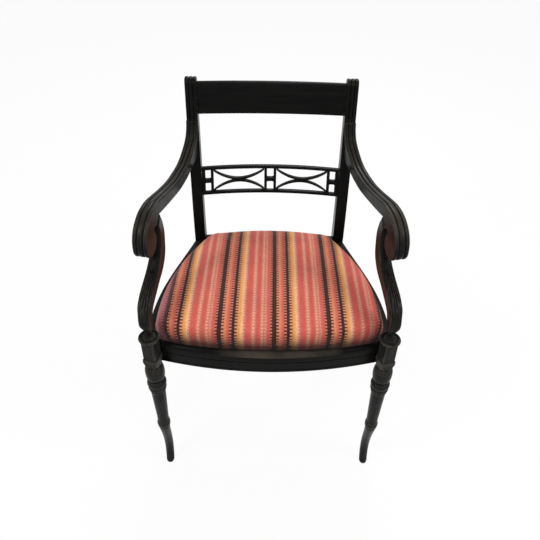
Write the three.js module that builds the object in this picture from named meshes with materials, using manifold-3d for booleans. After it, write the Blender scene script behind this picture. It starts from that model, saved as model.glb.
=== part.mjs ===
// An ebonised open armchair: turned front legs, sabre back legs in one piece with the back posts,
// downswept reeded arms that end in scrolls, a pierced fret rail, and a loose drop-in seat.
import * as THREE from 'three';
import { mergeVertices } from 'three/addons/utils/BufferGeometryUtils.js';
import Module from 'manifold-3d';

const wasm = await Module();
wasm.setup();

// Sizes in millimetres: x across the chair, y from front to back, z up from the floor.
const overallDepth = 545;
const legSpread = 259;
const seatDepth = 385;
const railTopZ = 448;
const shoulderRise = 314;
const blockHeight = 93;
const railHeight = 57;
const railThickness = 28;

// Clearances shared by the joints, and how far a cutter runs past what it cuts.
const jointGap = 0.3;
const overrun = 6;
const weldDistance = 0.0001;

// Front legs, from the cap down.
const capRadius = 23.5;
const capHeight = 6.5;
const bossRadius = 13;
const bossHeight = 3;
const dieHalf = 14.5;
const dieTurn = 0.31;
const dieRise = 35.5;
const dieBaseProud = 1.9;
const dieBaseHeight = 13;
const dieShoulderHeight = 18;
const dieCoreRadius = 14;
const ballRadius = 22.3;
const ballHeight = 44;
const ballRise = 6;
const neckRadius = 17;
const neckHeight = 6;
const ringRadius = 22.1;
const ringHeight = 31;
const collarRadius = 18;
const collarHeight = 8;
const shaftTopRadius = 17.2;
const shaftFootRadius = 13.9;
const shaftCoveHeight = 14;
const beadRadius = 15.9;
const beadHeight = 24;
const footHeight = 165;
const ankleRadius = 12;
const toeRadius = 10.3;
const toeTreadRadius = 7;
const toeRoundHeight = 6;
const footKick = 15;
const legSides = 16;

// Back posts, each one piece with its sabre leg.
const postOuterX = 198;
const postWidth = 27.5;
const postLean = 9;
const postSeatDepth = 38;
const postTopDepth = 26;
const postFootDepth = 25;
const backRake = 102;
const blockProud = 5;
const blockRoundHeight = 12;
const armSeatHeight = 81;

// Reeding: three reeds side by side.
const reedDepth = 2.2;
const reedEdgeDepth = 1.6;

// Crest rail.
const crestHeight = 67;
const crestDrop = 14;
const crestDepth = 22;
const crestSetback = 3;
const crestBow = 7;

// Fret rail.
const fretRise = 126;
const fretHeight = 70;
const fretBarHeight = 7;
const fretDepth = 10;
const fretSetback = 5;
const fretBow = 15;
const fretUprightWidth = 7;
const fretEndHoleWidth = 13.8;
const fretEndUprightWidth = 8.3;
const fretCentreHoleWidth = 16.8;
const spacerHeight = 11;
const crescentThickness = 5;
const crescentEndThickness = 3;
const crescentDepth = 8;

// Arms.
const scrollSetback = 82;
const armInset = 3;
const armDrop = 144;
const armRootThickness = 28;
const armScrollThickness = 31.5;
const scrollRadius = 28.5;

// Arm supports.
const supportHeadThickness = 23;
const supportKneeThickness = 27.5;
const supportFootThickness = 10;
const supportKneeInset = 1.5;
const supportInset = 2;
const supportPinSetback = 10.5;
const supportPinRadius = 3.3;
const supportPinLength = 18;

// Seat rails.
const frontRailCentreY = 15.5;
const frontRailBow = 31.5;
const frontRailInset = 16;
const frontRailRound = 10;
const sideRailOutset = 15.5;
const backRailSetback = 1;
const backRailThickness = 26;
const backRailFrontBow = 6;
const backRailRearBow = 10;
const ledgeDepth = 12;
const mitreAngle = 0.49;
const panelDrop = 24;
const panelHeight = 26;
const panelInset = 20;
const grooveWidth = 2;
const grooveDepth = 1.6;

// Drop-in seat.
const seatInset = 2;
const seatBackInset = 30;
const seatFrontBow = 16.5;
const seatBackOverhang = 16;
const seatClearance = 1.5;
const seatFrameHeight = 18;
const seatFrameWidth = 48;
const webbingThickness = 1.6;
const webbingWidth = 50;
const coverThickness = 1.8;
const crownHeight = 52;
const crownBackFall = 9;

// Tenons, dowels, corner blocks and screws.
const tenonThickness = 10;
const tenonHeight = 30;
const sideTenonLength = 20;
const backTenonLength = 7;
const crestTenonLength = 12;
const crestTenonHeight = 40;
const crestTenonThickness = 8;
const fretTenonLength = 8;
const fretTenonThickness = 6;
const fretTenonHeight = 5;
const dowelRadius = 5;
const dowelLength = 44;
const armDowelLength = 30;
const armDowelRadius = 4;
const headDowelRadius = 3.5;
const headDowelLength = 18;
const blockLeg = 52;
const blockThickness = 32;
const screwRadius = 2.2;
const screwHeadRadius = 4.4;
const screwHeadHeight = 2.6;
const screwLength = 38;
const screwSides = 10;

// Levels and places that follow from the sizes.
const shoulderZ = railTopZ + shoulderRise;
const overallHeight = shoulderZ + blockHeight;
const cutterReach = 4 * overallHeight;
const legAxisY = -overallDepth / 2 + capRadius;
const railLowZ = railTopZ - railHeight;
const ledgeZ = railTopZ - ledgeDepth;
const capTopZ = railTopZ + dieRise + capHeight;
const bossTopZ = capTopZ + bossHeight;
const postFrontAtSeat = legAxisY + seatDepth;
const rearSweep = overallDepth / 2 - postFrontAtSeat - postFootDepth;
const armSeatLowZ = shoulderZ - armSeatHeight;
const crestLowZ = overallHeight - crestDrop - crestHeight;
const fretLowZ = railTopZ + fretRise;
const frontRailFaceX = legSpread - frontRailInset;
const sideRailLegX = legSpread + sideRailOutset;
const seatBackY = seatDepth + seatBackOverhang;
const backRailEndY = seatDepth + backRailSetback;
const panelHalfLength = legSpread - panelInset;
const panelHighZ = railTopZ - panelDrop;
const panelLowZ = panelHighZ - panelHeight;
const seatHalfWidth = legSpread - seatInset;
const seatBackHalf = postOuterX - seatBackInset;
const tenonMidZ = railLowZ + (ledgeZ - railLowZ) / 2;

// Colours and gloss of the materials.
const woodLook = { color: 0x15120f, roughness: 0.42, metalness: 0 };
const rawWoodLook = { color: 0x9a7448, roughness: 0.8, metalness: 0 };
const steelLook = { color: 0x8a8a86, roughness: 0.4, metalness: 0.9 };
const fabricLook = { color: 0xb0504a, roughness: 0.95, metalness: 0 };
const padLook = { color: 0xd8cfb8, roughness: 1, metalness: 0 };
const webLook = { color: 0x8f7a54, roughness: 1, metalness: 0 };

// A closed geometry as a solid for cutting and joining, and back again.
function solidOf(geometry) {
  const bare = geometry.clone();
  bare.deleteAttribute('normal');
  bare.deleteAttribute('uv');
  const merged = mergeVertices(bare, weldDistance);
  const vertProperties = new Float32Array(merged.attributes.position.array);
  const triVerts = new Uint32Array(merged.index.array);
  return new wasm.Manifold(new wasm.Mesh({ numProp: 3, vertProperties, triVerts }));
}

function geometryOf(solid) {
  const mesh = solid.getMesh();
  const geometry = new THREE.BufferGeometry();
  geometry.setAttribute('position', new THREE.BufferAttribute(mesh.vertProperties, mesh.numProp));
  geometry.setIndex(new THREE.BufferAttribute(mesh.triVerts, 1));
  geometry.computeVertexNormals();
  return geometry;
}

// Signed volume of a triangle mesh: negative where its faces point in.
function signedVolume(points, index) {
  let volume = 0;
  for (let i = 0; i < index.length; i += 3) {
    const [a, b, c] = [points[index[i]], points[index[i + 1]], points[index[i + 2]]];
    volume += a.dot(b.clone().cross(c)) / 6;
  }
  return volume;
}

// Triangles over a flat ring of points in space, turned the way the ring runs.
function capTriangles(ring) {
  const normal = new THREE.Vector3();
  ring.forEach((point, i) => normal.add(point.clone().cross(ring[(i + 1) % ring.length])));
  normal.normalize();
  const along = ring[1].clone().sub(ring[0]).normalize();
  along.addScaledVector(normal, -along.dot(normal)).normalize();
  const across = normal.clone().cross(along);
  const flat = ring.map((point) => new THREE.Vector2(point.dot(along), point.dot(across)));
  return THREE.ShapeUtils.triangulateShape(flat, []).map(([a, b, c]) => {
    const turn = flat[b].clone().sub(flat[a]).cross(flat[c].clone().sub(flat[a]));
    return turn > 0 ? [a, b, c] : [a, c, b];
  });
}

// The triangles of a cap that is bent along one chord of its ring, or of a flat one.
function foldedCap(ring, chord) {
  if (!chord) return capTriangles(ring);
  const order = ring.map((_, i) => i);
  const inside = order.slice(chord[0], chord[1] + 1);
  const outside = order.filter((i) => i <= chord[0] || i >= chord[1]);
  return [inside, outside].flatMap((part) =>
    capTriangles(part.map((i) => ring[i])).map((triangle) => triangle.map((corner) => part[corner])),
  );
}

// A skin over a row of rings with equally many points, closed by a cap at each end.
function skin(rings, chord) {
  const count = rings[0].length;
  const points = rings.flat();
  const index = [];
  for (let r = 0; r < rings.length - 1; r += 1) {
    for (let i = 0; i < count; i += 1) {
      const a = r * count + i;
      const b = r * count + ((i + 1) % count);
      index.push(a, b, b + count, a, b + count, a + count);
    }
  }
  const last = (rings.length - 1) * count;
  const ends = [rings[0], rings[rings.length - 1]];
  const [firstCap, lastCap] = ends.map((ring) => foldedCap(ring, chord));
  firstCap.forEach(([a, b, c]) => index.push(a, c, b));
  lastCap.forEach(([a, b, c]) => index.push(last + a, last + b, last + c));
  if (signedVolume(points, index) < 0) index.reverse();
  const geometry = new THREE.BufferGeometry();
  const coordinates = points.flatMap((p) => p.toArray());
  geometry.setAttribute('position', new THREE.Float32BufferAttribute(coordinates, 3));
  geometry.setIndex(index);
  geometry.computeVertexNormals();
  return geometry;
}

// The same solid on the other side of the chair's middle plane.
function mirrored(solid) {
  const geometry = geometryOf(solid).scale(-1, 1, 1);
  geometry.setIndex(Array.from(geometry.index.array).reverse());
  return solidOf(geometry);
}

// Solids that cuts are made with: a box, a round rod between two points, and all space past a plane.
function boxSolid(centre, size) {
  const geometry = new THREE.BoxGeometry(size.x, size.y, size.z);
  geometry.translate(centre.x, centre.y, centre.z);
  return solidOf(geometry);
}

function rodSolid(from, to, radius, sides = legSides) {
  const span = to.clone().sub(from);
  const geometry = new THREE.CylinderGeometry(radius, radius, span.length(), sides);
  const along = span.clone().normalize();
  const turn = new THREE.Quaternion().setFromUnitVectors(new THREE.Vector3(0, 1, 0), along);
  geometry.applyQuaternion(turn);
  geometry.translate(from.x + span.x / 2, from.y + span.y / 2, from.z + span.z / 2);
  return solidOf(geometry);
}

function halfSpace(point, normal) {
  const geometry = new THREE.BoxGeometry(cutterReach, cutterReach, cutterReach);
  geometry.translate(0, 0, cutterReach / 2);
  const turn = new THREE.Quaternion().setFromUnitVectors(new THREE.Vector3(0, 0, 1), normal);
  geometry.applyQuaternion(turn);
  geometry.translate(point.x, point.y, point.z);
  return solidOf(geometry);
}

// A flat outline in plan, given its height.
function prism(outline, lowZ, highZ) {
  const shape = new THREE.Shape(outline.map(([x, y]) => new THREE.Vector2(x, y)));
  const geometry = new THREE.ExtrudeGeometry(shape, { depth: highZ - lowZ, bevelEnabled: false });
  geometry.translate(0, 0, lowZ);
  return solidOf(geometry);
}

// A line moved sideways by a distance, to the left of the way it runs.
function offsetLine(points, distance) {
  return points.map(([x, y], i) => {
    const [x0, y0] = points[Math.max(i - 1, 0)];
    const [x1, y1] = points[Math.min(i + 1, points.length - 1)];
    const length = Math.hypot(x1 - x0, y1 - y0);
    return [x - (distance * (y1 - y0)) / length, y + (distance * (x1 - x0)) / length];
  });
}

// Points of a smooth curve through or along a few given ones.
function cubicPoints(controls, steps) {
  const [a, b, c, d] = controls.map(([x, y]) => new THREE.Vector2(x, y));
  return new THREE.CubicBezierCurve(a, b, c, d).getPoints(steps).map((p) => [p.x, p.y]);
}

function cornerPoints(controls, steps) {
  const [a, b, c] = controls.map(([x, y]) => new THREE.Vector2(x, y));
  return new THREE.QuadraticBezierCurve(a, b, c).getPoints(steps).map((p) => [p.x, p.y]);
}

function splinePoints(points, steps) {
  const curve = new THREE.SplineCurve(points.map(([x, y]) => new THREE.Vector2(x, y)));
  return curve.getPoints(steps).map((p) => [p.x, p.y]);
}

// The levels across a reeded edge: a share of the thickness and how deep the edge lies there.
const reedShoulderShare = 0.4;
const reedRiseShare = 0.15;

function reedLevels(valleyShare) {
  const shoulder = (0.5 - valleyShare) * reedShoulderShare;
  const half = [
    [0, reedEdgeDepth],
    [valleyShare / 2, 0],
    [valleyShare, reedDepth],
    [valleyShare + shoulder, reedDepth * reedRiseShare],
  ];
  const other = half.map(([share, depth]) => [1 - share, depth]).reverse();
  return [...half, [0.5, 0], ...other];
}

// A board sawn to a side outline, with reeds worked along part of its edge. The rings are copies of the
// outline at each level across the thickness, set in from the sawn edge where the reeds are.
function reededBoard(outline, placeAt, valleyAt, foldZ) {
  const normals = outline.map((point, i) => {
    const before = outline[(i + outline.length - 1) % outline.length];
    const after = outline[(i + 1) % outline.length];
    const length = Math.hypot(after.y - before.y, after.z - before.z);
    return [(after.z - before.z) / length, -(after.y - before.y) / length];
  });
  const levelCount = reedLevels(valleyAt(outline[0])).length;
  const rings = Array.from({ length: levelCount }, (_, level) =>
    outline.map((point, i) => {
      const [share, depth] = reedLevels(valleyAt(point))[level];
      const inset = depth * point.reed;
      return placeAt(point.y - normals[i][0] * inset, point.z - normals[i][1] * inset, share);
    }),
  );
  const onFold = outline.flatMap((point, i) => (point.z === foldZ ? [i] : []));
  return solidOf(skin(rings, foldZ ? onFold : undefined));
}

// Back posts. The front face stands upright at the seat rails, sweeps back to the foot and rakes back to
// the top; where the arm is seated it is flat.
const rakePower = 1.25;
const sweepPower = 1.8;
const taperPower = 1.3;

function postFrontCurve(z) {
  const below = Math.max(railLowZ - z, 0) / railLowZ;
  if (z <= railLowZ) return postFrontAtSeat + rearSweep * below ** sweepPower;
  if (z <= railTopZ) return postFrontAtSeat;
  return postFrontAtSeat + backRake * ((z - railTopZ) / (overallHeight - railTopZ)) ** rakePower;
}

function postFrontY(z) {
  if (z <= armSeatLowZ || z >= shoulderZ) return postFrontCurve(z);
  const share = (z - armSeatLowZ) / (shoulderZ - armSeatLowZ);
  return THREE.MathUtils.lerp(postFrontCurve(armSeatLowZ), postFrontCurve(shoulderZ), share);
}

function postDepthAt(z) {
  const upLeg = Math.min(z / railLowZ, 1) ** taperPower;
  if (z <= railLowZ) return THREE.MathUtils.lerp(postFootDepth, postSeatDepth, upLeg);
  if (z <= railTopZ) return postSeatDepth;
  return THREE.MathUtils.lerp(postSeatDepth, postTopDepth, (z - railTopZ) / (overallHeight - railTopZ));
}

function leanAt(z) {
  return (postLean * Math.max(z - railTopZ, 0)) / (overallHeight - railTopZ);
}

const postInnerAt = (z) => postOuterX - postWidth + leanAt(z);

function postSolid() {
  const legShares = [0, 0.12, 0.26, 0.42, 0.6, 0.8, 1];
  const backShares = [0.25, 0.5, 0.75, 1];
  const roundLowZ = overallHeight - blockRoundHeight;
  const levels = [
    ...legShares.map((share) => share * railLowZ),
    railTopZ,
    ...backShares.map((share) => THREE.MathUtils.lerp(railTopZ, armSeatLowZ, share)),
  ];
  const front = [...levels, shoulderZ].map((z) => ({ y: postFrontY(z), z, reed: 0 }));
  const block = [shoulderZ, (shoulderZ + roundLowZ) / 2, roundLowZ];
  const blockFront = block.map((z) => ({ y: postFrontY(z) - blockProud, z, reed: 1 }));
  const roundFrontY = postFrontY(roundLowZ) - blockProud;
  const roundDepth = postDepthAt(roundLowZ) + blockProud;
  const roundSteps = 7;
  const round = Array.from({ length: roundSteps - 1 }, (_, i) => {
    const angle = (Math.PI * (i + 1)) / roundSteps;
    const y = roundFrontY + (roundDepth * (1 - Math.cos(angle))) / 2;
    return { y, z: roundLowZ + blockRoundHeight * Math.sin(angle), reed: 1 };
  });
  const backLevels = [roundLowZ, shoulderZ, ...[...levels].reverse()];
  const back = backLevels.map((z, i) => ({ y: postFrontY(z) + postDepthAt(z), z, reed: i === 0 ? 1 : 0 }));
  const place = (y, z, share) => new THREE.Vector3(postInnerAt(z) + postWidth * share, y, z);
  const outline = [...front, ...blockFront, ...round, ...back].reverse();
  return reededBoard(outline, place, () => 1 / 3, railTopZ);
}

// Arms. The board stands upright and runs outwards as it comes forward; its outline is the downswept top,
// the scroll, the slot beside the scroll and the under edge. Shares: how far forward of the arm's root,
// of the arm's reach, and how high over the scroll, of the arm's drop from the shoulder.
const armRootY = postFrontY(shoulderZ);
const armReach = armRootY - legAxisY - scrollSetback;
const armSlope = (legSpread - armInset - postInnerAt(shoulderZ)) / armReach;
const armProudShare = blockProud / armReach;
const armTopShares = [
  [armProudShare, 1.05], [0.022, 0.9], [0.0465, 0.764], [0.0863, 0.674],
  [0.1368, 0.604], [0.198, 0.541], [0.28, 0.503], [0.426, 0.507], [0.559, 0.569], [0.673, 0.646],
  [0.758, 0.698], [0.825, 0.706], [0.878, 0.684], [0.9256, 0.625], [0.9655, 0.535], [0.9907, 0.41],
  [0.999, 0.3],
];
const armUnderShares = [
  [0.6786, 0.451], [0.5857, 0.403], [0.4236, 0.33], [0.3094, 0.322], [0.2457, 0.333],
  [0.158, 0.363], [0.0863, 0.41], [0.0438, 0.47], [-0.02, 0.6],
];
const armBuriedShare = [-0.02, 1.05];
const armTurnShare = 0.3;
const armValleyShares = [1 / 3, 0.27];
const armLowZ = shoulderZ - armDrop;
const armInnerAt = (y) => postInnerAt(shoulderZ) + armSlope * (armRootY - y);
const armPoint = ([along, up]) => [armRootY - armReach * along, armLowZ + armDrop * up];
const armShareAt = (y) => THREE.MathUtils.clamp((armRootY - y) / armReach, 0, 1);
const armThicknessAt = (y) => THREE.MathUtils.lerp(armRootThickness, armScrollThickness, armShareAt(y));
const armAcross = new THREE.Vector3(1, armSlope, 0).normalize();

// A point of the arm: the board is square to the post at its root and turns outwards within the sweep.
function placeOnArm(y, z, share) {
  const turn = THREE.MathUtils.smoothstep(armShareAt(y), 0, armTurnShare);
  const across = new THREE.Vector3(1, armSlope * turn, 0).normalize();
  return new THREE.Vector3(armInnerAt(y), y, z).addScaledVector(across, armThicknessAt(y) * share);
}

// The slot behind the scroll and the crotch behind that, in radii of the scroll from its centre.
const scrollCentreShare = 1.21;
const slotShares = [[0.74, 0.83], [0.89, 0.935], [1.16, 0.91], [1.36, 0.68]];
const crotchShare = [1.99, 1.35];
const scrollCentre = [
  armRootY - armReach + scrollRadius,
  armLowZ + scrollRadius * scrollCentreShare,
];
const scrollPoint = ([back, up]) => [
  scrollCentre[0] + scrollRadius * back,
  scrollCentre[1] + scrollRadius * up,
];

// The plane where the support's head meets the arm, from the slot to the crotch.
const headFront = scrollPoint(slotShares[3]);
const headBack = scrollPoint(crotchShare);
const headMid = [(headFront[0] + headBack[0]) / 2, (headFront[1] + headBack[1]) / 2];
const headLength = Math.hypot(headBack[0] - headFront[0], headBack[1] - headFront[1]);
const headAlong = new THREE.Vector3(
  (-armSlope * (headBack[0] - headFront[0])) / headLength,
  (headBack[0] - headFront[0]) / headLength,
  (headBack[1] - headFront[1]) / headLength,
).normalize();
const headUp = armAcross.clone().cross(headAlong).normalize();

function armSolid() {
  const top = splinePoints(armTopShares.map(armPoint), 30);
  const hookAngle = 0.75;
  const scrollSteps = 12;
  const scroll = Array.from({ length: scrollSteps }, (_, i) => {
    const angle = Math.PI + ((Math.PI + hookAngle) * (i + 0.5)) / (scrollSteps - 0.5);
    return scrollPoint([Math.cos(angle), Math.sin(angle)]);
  });
  const slot = splinePoints(slotShares.map(scrollPoint), 5);
  const under = splinePoints([headBack, ...armUnderShares.map(armPoint)], 14);
  const plainSteps = 5;
  const fadeSteps = 3;
  const [buriedY, buriedZ] = armPoint(armBuriedShare);
  const scrollReed = (i) => THREE.MathUtils.clamp((scrollSteps - plainSteps - i) / fadeSteps, 0, 1);
  const outline = [
    ...top.map(([y, z]) => ({ y, z, reed: 1 })),
    ...scroll.map(([y, z], i) => ({ y, z, reed: scrollReed(i) })),
    ...slot.map(([y, z]) => ({ y, z, reed: 0 })),
    ...under.map(([y, z]) => ({ y, z, reed: 0 })),
    { y: buriedY, z: buriedZ, reed: 1 },
  ];
  const valleyAt = (point) => THREE.MathUtils.lerp(...armValleyShares, armShareAt(point.y));
  const board = reededBoard(outline, placeOnArm, valleyAt);
  const rise = shoulderZ - armSeatLowZ;
  const run = postFrontY(shoulderZ) - postFrontY(armSeatLowZ);
  const faceNormal = new THREE.Vector3(0, rise, -run).normalize();
  const onFace = new THREE.Vector3(0, postFrontY(shoulderZ), shoulderZ);
  onFace.addScaledVector(faceNormal, -jointGap);
  const underShoulder = new THREE.Vector3(0, 0, shoulderZ - 2 * jointGap);
  return board
    .subtract(halfSpace(onFace, faceNormal))
    .subtract(halfSpace(underShoulder, new THREE.Vector3(0, 0, 1)));
}

// Arm supports: an S-shaped board from the cap of the front leg to the under edge of the arm, with reeds
// on its front. Shares as for the arm's outline, but measured up from the top of the front leg.
const supportRiseZ = headBack[1] - bossTopZ;
const supportReach = headBack[0] - legAxisY;
const supportFrontShares = [
  [0.04, 0], [0.006, 0.07], [-0.018, 0.157], [-0.012, 0.237], [0.036, 0.298], [0.119, 0.338],
  [0.238, 0.369], [0.386, 0.399], [0.547, 0.44], [0.684, 0.49], [0.803, 0.561], [0.887, 0.667],
  [0.917, 0.783], [0.9, 0.904], [0.87, 1.02],
];
const supportBackShares = [
  [1.0, 1.06], [1.01, 0.985], [1.07, 0.87], [1.1, 0.72], [1.06, 0.56], [0.95, 0.43], [0.8, 0.352],
  [0.6, 0.31], [0.43, 0.255], [0.3, 0.18], [0.22, 0.1], [0.17, 0.04], [0.15, 0],
];
const supportPoint = ([along, up]) => [
  legAxisY + supportReach * along,
  bossTopZ + jointGap + supportRiseZ * up,
];
const supportInnerX = armInnerAt(headMid[0]) - supportInset;
const supportSlope = (legSpread - supportKneeInset - supportInnerX) / (headMid[0] - legAxisY);
const supportAcross = new THREE.Vector3(1, supportSlope, 0).normalize();
const supportFootShare = 0.3;
const supportKneeShares = [0.25, 0.75];

// A point of the support: the board swells quickly from its foot to the knee and thins again to the head,
// and it leans inwards from the leg to the arm.
function placeOnSupport(y, z, share) {
  const rise = THREE.MathUtils.clamp((z - bossTopZ) / supportRiseZ, 0, 1);
  const thinning = THREE.MathUtils.smoothstep(rise, ...supportKneeShares);
  const full = THREE.MathUtils.lerp(supportKneeThickness, supportHeadThickness, thinning);
  const swell = THREE.MathUtils.smoothstep(rise, 0, supportFootShare);
  const thickness = THREE.MathUtils.lerp(supportFootThickness, full, swell);
  const leaning = supportInnerX + supportSlope * (headMid[0] - y) + full / 2;
  const centre = new THREE.Vector3(THREE.MathUtils.lerp(legSpread, leaning, swell), y, z);
  return centre.addScaledVector(supportAcross, thickness * (share - 0.5));
}

function supportSolid() {
  const front = splinePoints(supportFrontShares.map(supportPoint), 28);
  const back = splinePoints(supportBackShares.map(supportPoint), 16);
  const outline = [
    ...front.map(([y, z], i) => ({ y, z, reed: THREE.MathUtils.clamp(i / 4, 0, 1) })),
    ...back.map(([y, z]) => ({ y, z, reed: 0 })),
  ];
  const board = reededBoard(outline.reverse(), placeOnSupport, () => 1 / 3);
  const onHead = new THREE.Vector3(armInnerAt(headMid[0]), headMid[0], headMid[1]);
  onHead.addScaledVector(headUp, -jointGap);
  return board.subtract(halfSpace(onHead, headUp));
}

// Front legs: a turned leg whose foot is then shaped to kick forward.
function beadPoints(low, high, root, crown, steps) {
  const [middle, half] = [(low + high) / 2, (high - low) / 2];
  return Array.from({ length: steps + 1 }, (_, i) => {
    const angle = (Math.PI * i) / steps;
    return [root + (crown - root) * Math.sin(angle), middle - half * Math.cos(angle)];
  });
}

function legProfile(grow) {
  const ballTopZ = railLowZ + ballRise;
  const ballLowZ = ballTopZ - ballHeight;
  const ringTopZ = ballLowZ - neckHeight;
  const ringLowZ = ringTopZ - ringHeight;
  const collarLowZ = ringLowZ - collarHeight;
  const beadTopZ = footHeight + beadHeight;
  const footSteps = 7;
  const foot = Array.from({ length: footSteps + 1 }, (_, i) => {
    const share = i / footSteps;
    const flare = (shaftFootRadius - ankleRadius) * share ** footFlarePower;
    const z = THREE.MathUtils.lerp(toeRoundHeight, footHeight, share);
    return [THREE.MathUtils.lerp(toeRadius, ankleRadius, share) + flare, z];
  });
  const capLowZ = railTopZ + dieRise;
  const points = [
    [toeTreadRadius, 0],
    ...foot,
    ...beadPoints(footHeight, beadTopZ, shaftFootRadius, beadRadius, 4).slice(1),
    [shaftFootRadius, beadTopZ + shaftCoveHeight],
    [shaftTopRadius, collarLowZ],
    [collarRadius, collarLowZ + collarHeight / 4],
    [collarRadius, ringLowZ - collarHeight / 4],
    ...beadPoints(ringLowZ, ringTopZ, neckRadius, ringRadius, 6),
    ...beadPoints(ballLowZ, ballTopZ, neckRadius, ballRadius, 6),
    [dieCoreRadius, ballTopZ + neckHeight],
    [dieCoreRadius, capLowZ - capHeight / 3],
    ...beadPoints(capLowZ - capHeight / 6, capTopZ, neckRadius, capRadius, 4),
    [bossRadius + bossHeight, capTopZ - bossHeight],
    [bossRadius, bossTopZ],
  ];
  return [[0, 0], ...points.map(([r, z]) => [r + grow, z]), [0, bossTopZ]];
}

// How far the foot is bent at a share of its height: nothing at the tread and at its top.
const footFlarePower = 6;
const kickPower = 1.5;
const kickMost = (1 / (1 + kickPower)) * (kickPower / (1 + kickPower)) ** kickPower;

// The square die: a block, its base moulding, and a shoulder that runs from the base to the round waist.
const shoulderShares = [[-0.25, -0.11], [0.21, 0.25], [0.52, 0.52], [0.76, 0.78], [1, 1.02], [1, 1.3]];

function dieSolid(grow) {
  const waistZ = railLowZ + ballRise;
  const baseLowZ = waistZ + dieShoulderHeight;
  const baseHighZ = baseLowZ + dieBaseHeight;
  const baseHalf = dieHalf + dieBaseProud;
  const square = (half, lowZ, highZ) => {
    const centre = new THREE.Vector3(0, 0, (lowZ + highZ) / 2);
    const size = new THREE.Vector3(2 * (half + grow), 2 * (half + grow), highZ - lowZ);
    return boxSolid(centre, size).rotate([0, 0, THREE.MathUtils.radToDeg(dieTurn)]);
  };
  const cone = shoulderShares.map(([out, up]) => {
    const radius = THREE.MathUtils.lerp(neckRadius, baseHalf * Math.SQRT2, out) + grow;
    return new THREE.Vector2(radius, waistZ + dieShoulderHeight * up);
  });
  const [bottomZ, topZ] = [cone[0].y, cone[cone.length - 1].y];
  const profile = [new THREE.Vector2(0, bottomZ), ...cone, new THREE.Vector2(0, topZ)];
  const facet = Math.PI / legSides + dieTurn;
  const lathe = new THREE.LatheGeometry(profile, legSides, facet).rotateX(Math.PI / 2);
  const sides = square(baseHalf - jointGap, waistZ - overrun, baseHighZ);
  return square(dieHalf, baseHighZ - overrun, railTopZ + dieRise + capHeight / 2)
    .add(square(baseHalf, baseLowZ, baseHighZ))
    .add(solidOf(lathe).intersect(sides))
    .translate([legSpread, legAxisY, 0]);
}

function turnedLeg(grow) {
  const points = legProfile(grow).map(([r, z]) => new THREE.Vector2(r, z));
  const geometry = new THREE.LatheGeometry(points, legSides).rotateX(Math.PI / 2);
  const position = geometry.attributes.position;
  for (let i = 0; i < position.count; i += 1) {
    const share = THREE.MathUtils.clamp(position.getZ(i) / footHeight, 0, 1);
    const bend = (share * (1 - share) ** kickPower) / kickMost;
    position.setY(i, position.getY(i) + footKick * bend);
  }
  geometry.translate(legSpread, legAxisY, 0);
  return solidOf(geometry).add(dieSolid(grow));
}

// Seat rails. The side rail's plan swells from the post to the leg; the front rail bows forward.
const sideCurveShares = [[0, 0], [0.53, 0.35], [1.09, 0.55], [1, 1]];
const sideRun = seatDepth - dieHalf;
const sideOuter = cubicPoints(
  sideCurveShares.map(([out, forward]) => [
    postOuterX + (sideRailLegX - postOuterX) * out,
    postFrontAtSeat - sideRun * forward,
  ]),
  14,
);
sideOuter.unshift([2 * sideOuter[0][0] - sideOuter[1][0], 2 * sideOuter[0][1] - sideOuter[1][1]]);
sideOuter.push([sideRailLegX, legAxisY]);

function frontFaceY(x) {
  return legAxisY - frontRailCentreY + frontRailBow * (x / frontRailFaceX) ** 2;
}

function acrossPoints(half, steps, yAt) {
  return Array.from({ length: steps + 1 }, (_, i) => {
    const x = half * ((2 * i) / steps - 1);
    return [x, yAt(x)];
  });
}

const frontOuter = acrossPoints(legSpread + dieHalf / 2, 16, frontFaceY);
const band = (outer, inner, lowZ, highZ) => prism([...outer, ...[...inner].reverse()], lowZ, highZ);
const sideBand = (grow) =>
  band(offsetLine(sideOuter, grow), offsetLine(sideOuter, -railThickness - grow), railLowZ, railTopZ);

// The front rail before it is cut: its top outer edge is rounded over.
function frontBand(grow) {
  const inner = offsetLine(frontOuter, railThickness + grow).reverse();
  const steps = 4;
  const rounding = Array.from({ length: steps + 1 }, (_, i) => {
    const angle = (Math.PI * i) / (2 * steps);
    const z = railTopZ - frontRailRound * (1 - Math.sin(angle));
    return [frontRailRound * (1 - Math.cos(angle)), z];
  });
  const rings = [[0, railLowZ], ...rounding].map(([inset, z]) =>
    [...offsetLine(frontOuter, inset - grow), ...inner].map(([x, y]) => new THREE.Vector3(x, y, z)),
  );
  return solidOf(skin(rings));
}

const backRailFront = (x) => legAxisY + backRailEndY + backRailFrontBow * (1 - (x / postInnerAt(0)) ** 2);
const backRailRear = (x) =>
  legAxisY + backRailEndY + backRailThickness + backRailRearBow * (1 - (x / postInnerAt(0)) ** 2);

function backBand(grow, half) {
  const front = acrossPoints(half, 12, (x) => backRailFront(x) - grow);
  const rear = acrossPoints(half, 12, (x) => backRailRear(x) + grow);
  return band(front, rear, railLowZ, railTopZ);
}

// Drop-in seat. The outline runs round the widest part of the cushion, from the front middle to the right:
// a bowed front edge, a rounded corner, a side that draws in towards the back, and a small back corner.
const seatFrontShares = [0, 0.26, 0.52, 0.78];
const seatCornerShares = [[1, 0.062], [1, 0.15]];
const seatSideShares = [[1, 0.15], [1.011, 0.396], [0.764, 0.619], [0, 0.906]];
const seatBackCornerShares = [[1, 0.906], [0.922, 0.963], [0.742, 0.9666]];
const seatBackShares = [[0.55, 0.981], [0.275, 0.995], [0, 1]];

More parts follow.
